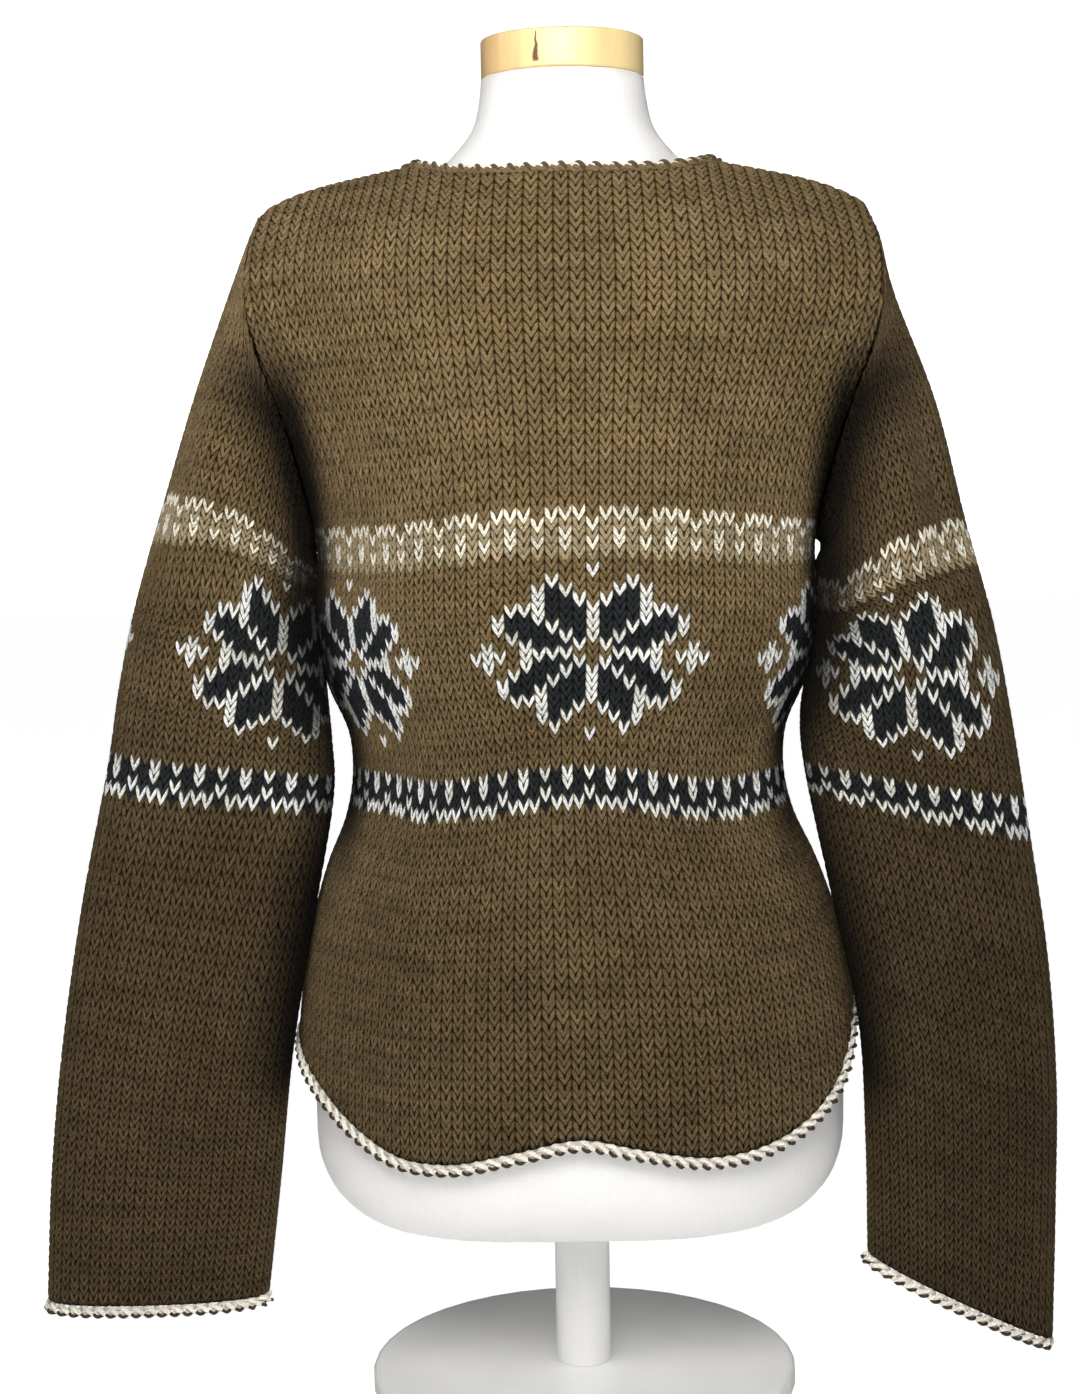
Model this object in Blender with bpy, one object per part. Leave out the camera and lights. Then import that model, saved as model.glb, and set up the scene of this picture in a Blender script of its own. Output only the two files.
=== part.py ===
"""Bulky knitted pullover with a boat neck and a rounded hem, worn on a limbless dress form.

Metres, +Z up. The origin is the centre of the stand foot's underside. The front faces -Y, and
left and right are the viewer's. Every cloth piece is one wall between an outer and an inner face.
A place on the body is given by its way round, from 0 at the centre line to 1 or -1 at the side
seams, and by its height.
"""

import math
from typing import NamedTuple

import bmesh
import bpy
import numpy as np

# Driving sizes of the sweater
WALL = 0.0045                # thickness of the bulky knitted cloth
SEAM_GAP = 0.0003            # space between neighbouring pieces
CORD_RADIUS = 0.0036         # twisted cord along neck, hem and cuffs
SECTION_POWER = 2.3          # how square the level sections are; 2 is an ellipse
NECK_HALF_WIDTH = 0.097      # boat neck, centre to shoulder
NECK_SIDE_HEIGHT = 0.7925    # where the neck opening meets the shoulder line
NECK_DROP = 0.0110           # how far the neck's edge falls from there to the centre
SHOULDER_HALF_WIDTH = 0.190  # centre line to the shoulder's end
SHOULDER_SLOPE = 0.20        # fall of the shoulder line near the neck for each metre outwards
SHOULDER_DROP = 0.0085       # further fall at the shoulder's end
SHOULDER_POWER = 5           # how late that further fall sets in
NECK_RISE = 0.4              # rise of the body's top line inside the neck opening
SHOULDER_ROUND = 0.060       # height over which the chest rounds into the shoulder line
ARMPIT_HEIGHT = 0.558
LAP_RISE = 0.0022            # how far the underarm seam lies off the body's outer face
LAP_START, LAP_END = 0.32, 0.60  # shares of the way down the armhole between which the lap sets in
LAP_TURN_GAP = 0.0016        # extra space where the seam turns from edge to edge into a lap
CHEST_HEIGHT = 0.540         # level from which the panels' rows are measured

# Driving sizes of the dress form and its stand
FORM_EASE = 0.0050           # space between the cloth and the form below the shoulders
FORM_REST = 0.0008           # space between the cloth and the form along the shoulder line
CAP_RADIUS, CAP_BOTTOM, CAP_TOP, CAP_ROUND = 0.0515, 0.8460, 0.8698, 0.0035
FORM_NECK_TOP = CAP_BOTTOM - SEAM_GAP
FORM_SHOULDER_TOP = NECK_SIDE_HEIGHT - WALL * math.hypot(1, SHOULDER_SLOPE) - FORM_REST
FORM_SHOULDER_FALL = 0.0016  # how much further the form falls away from the cloth at the shoulder's end
FORM_BOTTOM, FORM_BOTTOM_ROUND = 0.111, 0.060
POST_RADIUS = 0.018
FOOT_RADIUS, FOOT_HEIGHT, FOOT_ROUND = 0.140, 0.012, 0.004

# Mesh densities
NECK_COLUMNS, SHOULDER_COLUMNS, ARMHOLE_COLUMNS = 6, 5, 11
LOWER_ROWS, LOWER_LENGTH = 11, 0.400
UPPER_ROWS, UPPER_LENGTH = 13, 0.320
ROW_CROWDING = 1.4           # above 1 the upper rows lie closer together towards the shoulder
ROW_SNAP = 0.006             # a row closer than this to a column's end joins that end
SLEEVE_SIDES, SLEEVE_RINGS = 2 * ARMHOLE_COLUMNS, 22
FORM_SIDES, CAP_SIDES, TURNED_SIDES, CORD_SIDES = 28, 32, 40, 6
DENSE = 160                  # samples from which a column is measured out
WAY_STEP, HEIGHT_STEP = 0.004, 0.0005  # steps over which the cloth's slope is taken


class Level(NamedTuple):
    """Level section of the sweater's body; middle is its sideways shift."""
    height: float
    half_width: float
    front: float
    back: float
    middle: float


BODY_LEVELS = (
    Level(0.150, 0.1840, 0.1230, 0.1130, 0.0000),
    Level(0.220, 0.1830, 0.1230, 0.1130, 0.0000),
    Level(0.265, 0.1785, 0.1210, 0.1100, -0.0005),
    Level(0.310, 0.1700, 0.1160, 0.1040, -0.0015),
    Level(0.350, 0.1570, 0.1080, 0.0940, -0.0028),
    Level(0.380, 0.1440, 0.1010, 0.0850, -0.0036),
    Level(0.410, 0.1385, 0.0975, 0.0800, -0.0040),
    Level(0.435, 0.1405, 0.1010, 0.0810, -0.0040),
    Level(0.465, 0.1530, 0.1130, 0.0870, -0.0038),
    Level(0.510, 0.1600, 0.1270, 0.0950, -0.0034),
    Level(0.555, 0.1590, 0.1280, 0.1000, -0.0030),
    Level(0.590, 0.1660, 0.1220, 0.1020, -0.0026),
    Level(0.620, 0.1780, 0.1155, 0.1020, -0.0024),
    Level(0.650, 0.1970, 0.1080, 0.1010, -0.0022),
    Level(0.675, 0.2125, 0.1020, 0.0980, -0.0021),
    Level(0.700, 0.2255, 0.0960, 0.0940, -0.0020),
    Level(0.725, 0.2320, 0.0890, 0.0880, -0.0018),
    Level(0.750, 0.2335, 0.0790, 0.0780, -0.0016),
    Level(0.785, 0.2310, 0.0650, 0.0630, -0.0008),
    Level(0.830, 0.2310, 0.0600, 0.0580, 0.0000),
)


class EdgePoint(NamedTuple):
    """Place on the armhole's edge below the shoulder's end: height and distance from the middle."""
    height: float
    out: float


ARMHOLE = (
    EdgePoint(0.558, 0.1700),
    EdgePoint(0.566, 0.1603),
    EdgePoint(0.590, 0.1650),
    EdgePoint(0.620, 0.1718),
    EdgePoint(0.650, 0.1820),
    EdgePoint(0.675, 0.1900),
    EdgePoint(0.700, 0.1960),
    EdgePoint(0.725, 0.1970),
    EdgePoint(0.745, 0.1950),
)


class HemPoint(NamedTuple):
    """Place on the hem's edge: its way round, and its height."""
    way_round: float
    height: float


HEM = (
    HemPoint(-1.00, 0.2430),
    HemPoint(-0.84, 0.2280),
    HemPoint(-0.70, 0.2105),
    HemPoint(-0.58, 0.1925),
    HemPoint(-0.47, 0.1800),
    HemPoint(-0.34, 0.1775),
    HemPoint(-0.16, 0.1865),
    HemPoint(0.00, 0.1940),
    HemPoint(0.14, 0.1870),
    HemPoint(0.32, 0.1795),
    HemPoint(0.46, 0.1830),
    HemPoint(0.60, 0.1960),
    HemPoint(0.72, 0.2160),
    HemPoint(0.84, 0.2460),
    HemPoint(1.00, 0.2660),
)


class SleeveRing(NamedTuple):
    """Ring of a sleeve: distance out and height of its outer and inner edge, and its depth."""
    outer_x: float
    outer_z: float
    inner_x: float
    inner_z: float
    middle_y: float
    half_depth: float


LEFT_SLEEVE = (
    SleeveRing(0.2125, 0.714, 0.1680, 0.553, -0.006, 0.060),
    SleeveRing(0.2350, 0.652, 0.1650, 0.537, -0.012, 0.056),
    SleeveRing(0.2540, 0.592, 0.1660, 0.514, -0.018, 0.052),
    SleeveRing(0.2760, 0.520, 0.1590, 0.472, -0.024, 0.045),
    SleeveRing(0.2880, 0.468, 0.1550, 0.430, -0.026, 0.038),
    SleeveRing(0.2970, 0.415, 0.1550, 0.392, -0.030, 0.032),
    SleeveRing(0.3150, 0.330, 0.1690, 0.316, -0.036, 0.025),
    SleeveRing(0.3300, 0.240, 0.1840, 0.232, -0.040, 0.023),
    SleeveRing(0.3410, 0.155, 0.1940, 0.152, -0.036, 0.022),
    SleeveRing(0.3480, 0.069, 0.2050, 0.071, -0.030, 0.021),
)

RIGHT_SLEEVE = (
    SleeveRing(0.2060, 0.708, 0.1670, 0.553, -0.006, 0.060),
    SleeveRing(0.2310, 0.640, 0.1640, 0.537, -0.012, 0.056),
    SleeveRing(0.2490, 0.565, 0.1630, 0.516, -0.018, 0.052),
    SleeveRing(0.2660, 0.500, 0.1560, 0.482, -0.025, 0.044),
    SleeveRing(0.2770, 0.440, 0.1455, 0.445, -0.030, 0.037),
    SleeveRing(0.2860, 0.375, 0.1460, 0.410, -0.038, 0.031),
    SleeveRing(0.2960, 0.290, 0.1610, 0.330, -0.052, 0.026),
    SleeveRing(0.3010, 0.210, 0.1770, 0.250, -0.056, 0.024),
    SleeveRing(0.3020, 0.130, 0.1820, 0.170, -0.050, 0.023),
    SleeveRing(0.3020, 0.036, 0.1840, 0.094, -0.042, 0.022),
)


class Fold(NamedTuple):
    """Long soft fold of a sleeve, a valley where its height is negative.

    turn is its place round the sleeve, from 0 at the outer edge over 0.25 at the front to 0.5 at
    the inner edge; start and end are shares of the sleeve's length.
    """
    turn: float
    turn_width: float
    start: float
    end: float
    height: float


LEFT_FOLDS = (
    Fold(0.17, 0.05, 0.10, 0.42, 0.0060),
    Fold(0.33, 0.05, 0.20, 0.50, -0.0050),
    Fold(0.72, 0.06, 0.15, 0.55, 0.0060),
)

RIGHT_FOLDS = (
    Fold(0.15, 0.045, 0.06, 0.45, -0.0080),
    Fold(0.25, 0.05, 0.08, 0.42, 0.0060),
    Fold(0.70, 0.06, 0.15, 0.55, -0.0060),
)


class FormLevel(NamedTuple):
    """Half width of the dress form's trunk at a height above the armpits."""
    height: float
    half_width: float


FORM_SHOULDERS = (
    FormLevel(0.555, 0.1480),
    FormLevel(0.600, 0.1490),
    FormLevel(0.650, 0.1540),
    FormLevel(0.700, 0.1640),
    FormLevel(0.740, 0.1770),
    FormLevel(0.765, 0.1850),
    FormLevel(0.860, 0.1850),
)


class NeckLevel(NamedTuple):
    """Level section of the dress form's neck."""
    height: float
    half_width: float
    front: float
    back: float


FORM_NECK = (
    NeckLevel(0.760, 0.1100, 0.0560, 0.0540),
    NeckLevel(0.779, 0.0880, 0.0540, 0.0515),
    NeckLevel(0.788, 0.0790, 0.0525, 0.0505),
    NeckLevel(0.796, 0.0730, 0.0515, 0.0500),
    NeckLevel(0.804, 0.0655, 0.0510, 0.0500),
    NeckLevel(0.813, 0.0580, 0.0505, 0.0500),
    NeckLevel(0.825, 0.0545, 0.0500, 0.0500),
    NeckLevel(0.846, 0.0515, 0.0500, 0.0500),
)


def clear_scene():
    """Remove every object of the open scene."""
    for thing in list(bpy.data.objects):
        bpy.data.objects.remove(thing, do_unlink=True)


def smooth_curve(knots, values, places):
    """Read a smooth curve through (knots, values) at the given places."""
    knots = np.asarray(knots, dtype=float)
    values = np.asarray(values, dtype=float)
    places = np.clip(np.asarray(places, dtype=float), knots[0], knots[-1])
    slopes = np.gradient(values, knots, axis=0)
    index = np.clip(np.searchsorted(knots, places, side="right") - 1, 0, len(knots) - 2)
    width = knots[index + 1] - knots[index]
    u = (places - knots[index]) / width
    if values.ndim > 1:
        trailing = (slice(None),) + (None,) * (values.ndim - 1)
        u, width = u[trailing], width[trailing]
    return (
        (2 * u**3 - 3 * u**2 + 1) * values[index] + (u**3 - 2 * u**2 + u) * width * slopes[index]
        + (3 * u**2 - 2 * u**3) * values[index + 1] + (u**3 - u**2) * width * slopes[index + 1]
    )


def at_height(table, column, height):
    """Read one named column of a table at a height, or at an array of heights."""
    return smooth_curve([row.height for row in table], [getattr(row, column) for row in table], height)


def depth_column(facing):
    """Name of the table column with the depth of the front (facing -1) or the back (facing 1)."""
    return "front" if facing < 0 else "back"


def top_line(out):
    """Height at which front and back meet over a distance out from the middle."""
    beyond = np.abs(out) - NECK_HALF_WIDTH
    span = SHOULDER_HALF_WIDTH - NECK_HALF_WIDTH
    over = SHOULDER_SLOPE * beyond + SHOULDER_DROP * np.maximum(beyond / span, 0) ** SHOULDER_POWER
    return NECK_SIDE_HEIGHT - np.where(beyond > 0, over, NECK_RISE * beyond)


def neck_line(out):
    """Height of the neck opening's edge over a distance out from the middle."""
    across = np.clip(np.abs(out) / NECK_HALF_WIDTH, 0, 1)
    return NECK_SIDE_HEIGHT - NECK_DROP * (1 - across**4)


def rounding_below(line, height):
    """Share of the full depth that is left at a height just below a top line."""
    u = np.clip((line - height) / SHOULDER_ROUND, 0, 1)
    return np.sqrt(1 - (1 - u) ** 2)


def quarter_section(half_width, depth):
    """Points of a quarter of a level section, from the middle to the side, and their way round."""
    angle = np.linspace(0, math.pi / 2, 61)
    out = half_width * np.sin(angle) ** (2 / SECTION_POWER)
    deep = depth * np.cos(angle) ** (2 / SECTION_POWER)
    length = np.concatenate(([0], np.cumsum(np.hypot(np.diff(out), np.diff(deep)))))
    return out, deep, length / length[-1]


def flat_points(facing, way_round, heights):
    """Distances out from the middle and depths of the body before it rounds into the shoulders."""
    widths = at_height(BODY_LEVELS, "half_width", heights)
    depths = at_height(BODY_LEVELS, depth_column(facing), heights)
    found = []
    for width, depth in zip(widths, depths):
        out, deep, ways = quarter_section(width, depth)
        found.append((np.interp(abs(way_round), ways, out), np.interp(abs(way_round), ways, deep)))
    return np.array(found).T


def body_points(facing, way_round, heights):
    """Outer points of the body above one another."""
    heights = np.atleast_1d(np.asarray(heights, dtype=float))
    out, deep = flat_points(facing, way_round, heights)
    x = at_height(BODY_LEVELS, "middle", heights) + math.copysign(1, way_round) * out
    return np.column_stack((x, facing * deep * rounding_below(top_line(out), heights), heights))


def way_at(height, out):
    """Way round of the point of a level section at a distance out from the middle."""
    width = float(at_height(BODY_LEVELS, "half_width", height))
    depth = float(at_height(BODY_LEVELS, "front", height))
    outs, _, ways = quarter_section(width, depth)
    return float(np.interp(out, outs, ways))


SHOULDER_END_HEIGHT = float(top_line(SHOULDER_HALF_WIDTH))
SHOULDER_END_WAY = way_at(SHOULDER_END_HEIGHT, SHOULDER_HALF_WIDTH)
NECK_END_WAY = way_at(NECK_SIDE_HEIGHT, NECK_HALF_WIDTH)


def armhole_way(height):
    """Way round of the armhole's edge at a height between the armpit and the shoulder's end."""
    rows = ARMHOLE + (EdgePoint(SHOULDER_END_HEIGHT, SHOULDER_HALF_WIDTH),)
    ways = [way_at(row.height, row.out) for row in rows]
    return smooth_curve([row.height for row in rows], ways, height)


def armhole_heights():
    """Heights of the panels' points on the armhole's edge, from the shoulder's end to the armpit."""
    return np.linspace(SHOULDER_END_HEIGHT, ARMPIT_HEIGHT, ARMHOLE_COLUMNS + 1)


def column_ways():
    """Ways round of the panel's columns, which crowd beside the neck opening's corners."""
    inside = NECK_END_WAY * np.sin(np.linspace(0, math.pi / 2, NECK_COLUMNS + 1))
    over = np.linspace(NECK_END_WAY, SHOULDER_END_WAY, SHOULDER_COLUMNS + 1)[1:]
    under = armhole_way(armhole_heights()[1:])
    under[-1] = 1
    half = np.concatenate((inside, over, under))
    return np.concatenate((-half[:0:-1], half))


def column_top(facing, way_round):
    """Height where a column of the cloth ends: at the neck, the shoulder line or the armhole."""
    way = abs(way_round)
    if way > SHOULDER_END_WAY + 1e-6:
        heights = np.linspace(SHOULDER_END_HEIGHT, ARMPIT_HEIGHT, DENSE)
        ways = armhole_way(heights)
        ways[-1] = 1
        return float(np.interp(way, ways, heights))
    heights = np.linspace(ARMPIT_HEIGHT, NECK_SIDE_HEIGHT + 0.01, DENSE)
    out, _ = flat_points(facing, way, heights)
    room = np.minimum(top_line(out), neck_line(out)) - heights
    return float(np.interp(0, -room, heights))


def hem_height(way_round):
    """Height of the hem's edge at a way round."""
    return float(smooth_curve([row.way_round for row in HEM], [row.height for row in HEM], way_round))


def row_heights(facing, way_round):
    """Heights of a column's points: level rows measured along the cloth, ended by its two edges."""
    bottom, top = hem_height(way_round), column_top(facing, way_round)
    dense = bottom + (top - bottom) * (1 - (1 - np.linspace(0, 1, DENSE)) ** 2)
    steps = np.linalg.norm(np.diff(body_points(facing, way_round, dense), axis=0), axis=1)
    length = np.concatenate(([0], np.cumsum(steps)))
    length -= np.interp(CHEST_HEIGHT, dense, length)
    lower = np.linspace(-LOWER_LENGTH, 0, LOWER_ROWS + 1)
    upper = UPPER_LENGTH * (1 - (1 - np.linspace(0, 1, UPPER_ROWS + 1)[1:]) ** ROW_CROWDING)
    places = np.concatenate((lower, upper))
    places[places < length[0] + ROW_SNAP] = length[0]
    places[places > length[-1] - ROW_SNAP] = length[-1]
    return np.interp(places, length, dense)


def outward_normals(facing, way_round, heights):
    """Unit normals of the body's outer face above one another, pointing away from the wearer."""
    left, right = max(way_round - WAY_STEP, -1), min(way_round + WAY_STEP, 1)
    across = body_points(facing, right, heights) - body_points(facing, left, heights)
    upwards = body_points(facing, way_round, heights) - body_points(facing, way_round, heights - HEIGHT_STEP)
    normal = np.cross(across, upwards) * -facing
    return normal / np.linalg.norm(normal, axis=1, keepdims=True)


def wall_points(facing, way_round, heights):
    """Outer and inner points of the cloth above one another, and the outward normals there.

    Seam points keep their inner point in the seam's own plane, so that front and back don't meet.
    """
    heights = np.atleast_1d(np.asarray(heights, dtype=float))
    outer = body_points(facing, way_round, heights)
    normal = outward_normals(facing, way_round, heights)
    if abs(way_round) > 1 - 1e-6:
        normal[:, 1] = 0
    out, _ = flat_points(facing, way_round, heights)
    ridge = np.abs(top_line(out) - heights) < 1e-5
    fall = (top_line(out) - top_line(out + 1e-4)) / 1e-4
    normal[ridge] = np.column_stack((np.sign(way_round) * fall, fall * 0, fall * 0 + 1))[ridge]
    normal /= np.linalg.norm(normal, axis=1, keepdims=True)
    inner = outer - WALL * normal
    shift = np.array((0, facing * SEAM_GAP / 2, 0))
    return outer + shift, inner + shift, normal


def new_material(name, colour, roughness, metallic=0.0):
    """Principled material of one piece."""
    material = bpy.data.materials.new(name)
    material.use_nodes = True
    shader = material.node_tree.nodes["Principled BSDF"]
    shader.inputs["Base Color"].default_value = (*colour, 1)
    shader.inputs["Roughness"].default_value = roughness
    shader.inputs["Metallic"].default_value = metallic
    material.diffuse_color = (*colour, 1)
    return material


def add_object(name, vertices, faces, material, angle=60):
    """Make one named object from points and faces, with equal points joined, and shade it smooth."""
    mesh = bpy.data.meshes.new(name)
    mesh.from_pydata([tuple(float(c) for c in v) for v in vertices], [], faces)
    shape = bmesh.new()
    shape.from_mesh(mesh)
    bmesh.ops.remove_doubles(shape, verts=shape.verts, dist=1e-6)
    bmesh.ops.dissolve_degenerate(shape, edges=shape.edges, dist=1e-6)
    bmesh.ops.recalc_face_normals(shape, faces=shape.faces)
    shape.to_mesh(mesh)
    shape.free()
    mesh.shade_smooth()
    mesh.set_sharp_from_angle(angle=math.radians(angle))
    mesh.materials.append(material)
    thing = bpy.data.objects.new(name, mesh)
    bpy.context.scene.collection.objects.link(thing)
    return thing


def wall_faces(lines, points, closed):
    """Faces of a wall between an outer and an inner grid of points that share their numbering.

    closed joins the last line of each grid to its first, which makes a tube. The faces of the edge
    start at another corner in the second half, so that they split alike on both halves of a tube.
    """
    def at(side, i, j):
        return side * lines * points + i % lines * points + j

    faces = []
    for i in range(lines if closed else lines - 1):
        for j in range(points - 1):
            faces.append((at(0, i, j), at(0, i + 1, j), at(0, i + 1, j + 1), at(0, i, j + 1)))
            faces.append((at(1, i, j), at(1, i, j + 1), at(1, i + 1, j + 1), at(1, i + 1, j)))
        for j in (0, points - 1):
            edge = (at(0, i, j), at(1, i, j), at(1, i + 1, j), at(0, i + 1, j))
            faces.append(edge if i < lines / 2 else edge[1:] + edge[:1])
    for j in range(0 if closed else points - 1):
        for i in (0, lines - 1):
            faces.append((at(0, i, j), at(0, i, j + 1), at(1, i, j + 1), at(1, i, j)))
    return faces


def loft_faces(rings, sides, closed):
    """Faces of a solid through rings: joined end to end if closed, else with two end caps."""
    faces = []
    for i in range(rings if closed else rings - 1):
        a, b = i * sides, (i + 1) % rings * sides
        for j in range(sides):
            k = (j + 1) % sides
            faces.append((a + j, b + j, b + k, a + k))
    if not closed:
        faces.append(tuple(range(sides)))
        faces.append(tuple(range((rings - 1) * sides, rings * sides)))
    return faces


def make_panel(name, facing, material):
    """Make the front or the back of the body."""
    walls = [wall_points(facing, way, row_heights(facing, way)) for way in column_ways()]
    outer = np.array([wall[0] for wall in walls])
    inner = np.array([wall[1] for wall in walls])
    add_object(name, np.concatenate((outer.reshape(-1, 3), inner.reshape(-1, 3))),
               wall_faces(*outer.shape[:2], closed=False), material)


def armhole_rings(side):
    """Outer and inner ring of a sleeve's top edge, from the shoulder over the front and up the back.

    Over the shoulder it meets the panels edge to edge, and under the arm it is lapped onto them.
    side is -1 at the left and 1 at the right.
    """
    heights = armhole_heights()
    ways = armhole_way(heights)
    ways[0], ways[-1] = SHOULDER_END_WAY, 1
    found = []
    for facing in (-1, 1):
        found.append([wall_points(facing, side * way, height) for way, height in zip(ways, heights)])
    joined = found[0] + found[1][-2:0:-1]
    edge = np.array([wall[0][0] for wall in joined])
    normal = np.array([wall[2][0] for wall in joined])
    for seam in (0, ARMHOLE_COLUMNS):
        edge[seam, 1] = 0
    tangent = np.roll(edge, -1, axis=0) - np.roll(edge, 1, axis=0)
    away = np.cross(tangent, normal)
    away *= np.sign(away @ np.array((side, 0, 1)))[:, None]
    away /= np.linalg.norm(away, axis=1, keepdims=True)
    down = np.arange(SLEEVE_SIDES) / ARMHOLE_COLUMNS
    down = np.minimum(down, 2 - down)
    u = np.clip((down - LAP_START) / (LAP_END - LAP_START), 0, 1)[:, None]
    lap = u * u * (3 - 2 * u)
    gap = SEAM_GAP + LAP_TURN_GAP * np.sin(math.pi * u)
    lifted = LAP_RISE * np.minimum(1, 6 * lap)
    outer = edge + away * (gap * (1 - lap) - WALL * lap) + normal * lifted
    inner = edge + away * gap + normal * (lifted - WALL * (1 - lap))
    return outer, inner


def sleeve_ring(row, side, inset):
    """Ring of sleeve points from a table row, made smaller all round by inset."""
    outer = np.array((side * row.outer_x, row.middle_y, row.outer_z))
    inner = np.array((side * row.inner_x, row.middle_y, row.inner_z))
    middle, reach = (outer + inner) / 2, (outer - inner) / 2
    half_width = np.linalg.norm(reach)
    turn = 2 * math.pi * np.arange(SLEEVE_SIDES) / SLEEVE_SIDES
    across = np.sign(np.cos(turn)) * np.abs(np.cos(turn)) ** (2 / SECTION_POWER)
    forward = np.sign(np.sin(turn)) * np.abs(np.sin(turn)) ** (2 / SECTION_POWER)
    depth = np.array((0, inset - row.half_depth, 0))
    return middle + across[:, None] * reach * (1 - inset / half_width) + forward[:, None] * depth


def fold_push(folds, share):
    """How far each point of a ring is pushed outwards by the folds, at a share of the length."""
    turn = np.arange(SLEEVE_SIDES) / SLEEVE_SIDES
    push = np.zeros(SLEEVE_SIDES)
    for fold in folds:
        if fold.start < share < fold.end:
            fade = math.sin(math.pi * (share - fold.start) / (fold.end - fold.start)) ** 2
            push += fold.height * fade * np.exp(-((turn - fold.turn) / fold.turn_width) ** 2)
    return push[:, None]


def make_sleeve(name, side, table, folds, material):
    """Make one sleeve from the armhole to the cuff, and return its outer and inner rings."""
    knots = np.linspace(0, 1, len(table) + 1)
    shares = np.linspace(0, 1, SLEEVE_RINGS)
    walls = []
    for start, inset in zip(armhole_rings(side), (0, WALL)):
        rings = np.array([start] + [sleeve_ring(row, side, inset) for row in table])
        lofted = smooth_curve(knots, rings, shares)
        for ring, share in zip(lofted, shares):
            outwards = (ring - ring.mean(axis=0)) * (1, 1, 0)
            outwards /= np.linalg.norm(outwards, axis=1, keepdims=True)
            ring += outwards * fold_push(folds, share)
        walls.append(lofted)
    lines = [wall.transpose(1, 0, 2).reshape(-1, 3) for wall in walls]
    add_object(name, np.concatenate(lines), wall_faces(SLEEVE_SIDES, SLEEVE_RINGS, closed=True), material)
    return walls


def make_cord(name, outer_edge, inner_edge, cloth_line, material, ends=None):
    """Make an edging cord along an edge of the cloth, on the side away from cloth_line.

    outer_edge and inner_edge are the wall's two edge lines. The cord is thicker than the cloth, and
    stands out from its outer face alone. ends gives the Y of the cord's two flat ends; without it the
    cord is a closed ring.
    """
    middle = (outer_edge + inner_edge) / 2
    if ends is None:
        tangent = np.roll(middle, -1, axis=0) - np.roll(middle, 1, axis=0)
    else:
        tangent = np.gradient(middle, axis=0)
    tangent /= np.linalg.norm(tangent, axis=1, keepdims=True)
    across = outer_edge - inner_edge
    across -= tangent * np.sum(across * tangent, axis=1, keepdims=True)
    across /= np.linalg.norm(across, axis=1, keepdims=True)
    away = np.cross(tangent, across)
    away *= np.sign(np.sum(away * (middle - cloth_line), axis=1, keepdims=True))
    centre = middle + away * (CORD_RADIUS + SEAM_GAP) + across * (CORD_RADIUS - WALL / 2)
    turn = 2 * math.pi * (np.arange(CORD_SIDES) + 0.5) / CORD_SIDES
    rings = (centre[:, None] + CORD_RADIUS * (np.cos(turn)[None, :, None] * away[:, None]
                                              + np.sin(turn)[None, :, None] * across[:, None]))
    if ends is not None:
        rings[0, :, 1], rings[-1, :, 1] = ends, ends
    add_object(name, rings.reshape(-1, 3), loft_faces(len(rings), CORD_SIDES, ends is None), material, 80)


def panel_edge(facing, ways, height_of, into_cloth):
    """Outer edge line, inner edge line and a line just inside the cloth, along an edge of a panel."""
    lines = []
    for way in ways:
        height = height_of(way)
        outer, inner, _ = wall_points(facing, way, height)
        cloth = wall_points(facing, way, height + into_cloth)
        lines.append((outer[0], inner[0], (cloth[0][0] + cloth[1][0]) / 2))
    return [np.array(line) for line in zip(*lines)]


def make_body_cords(materials):
    """Make the cords round the neck opening and along the front and back hems."""
    ways = column_ways()
    for name, facing in (("front", -1), ("back", 1)):
        edge = panel_edge(facing, ways, hem_height, 0.004)
        make_cord(f"hem_edging_{name}", *edge, materials[name], ends=facing * SEAM_GAP / 2)
    over = ways[np.abs(ways) <= NECK_END_WAY + 1e-6]
    front = panel_edge(-1, over, lambda way: column_top(-1, way), -0.004)
    back = panel_edge(1, over, lambda way: column_top(1, way), -0.004)
    loop = [np.concatenate((f, b[-2:0:-1])) for f, b in zip(front, back)]
    make_cord("neck_edging", *loop, materials["neck"])


def form_half_width(height):
    """Half width of the form's trunk: inside the cloth, and narrower above the armpits."""
    if height < FORM_SHOULDERS[0].height:
        return float(at_height(BODY_LEVELS, "half_width", height)) - WALL - FORM_EASE
    return float(at_height(FORM_SHOULDERS, "half_width", height))


def form_top_line(out):
    """Height of the form's shoulder line, which runs on towards the neck inside the neck opening."""
    beyond = np.abs(out) - NECK_HALF_WIDTH
    along = np.maximum(beyond / (SHOULDER_HALF_WIDTH - NECK_HALF_WIDTH), 0)
    falling = top_line(out) - NECK_SIDE_HEIGHT - FORM_SHOULDER_FALL * along**2
    return FORM_SHOULDER_TOP + np.where(beyond > 0, falling, -SHOULDER_SLOPE * beyond)


def form_depth(facing, height, out):
    """Depth of the form at a height and at distances out from the middle."""
    column = depth_column(facing)
    depth = float(at_height(BODY_LEVELS, column, height)) - WALL - FORM_EASE
    share = np.clip(1 - (np.abs(out) / form_half_width(height)) ** SECTION_POWER, 0, 1)
    trunk = depth * share ** (1 / SECTION_POWER) * rounding_below(form_top_line(out), height)
    if height < FORM_NECK[0].height:
        return trunk
    width = float(at_height(FORM_NECK, "half_width", height))
    neck = float(at_height(FORM_NECK, column, height)) * np.sqrt(np.clip(1 - (out / width) ** 2, 0, 1))
    return np.maximum(trunk, neck)


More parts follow.
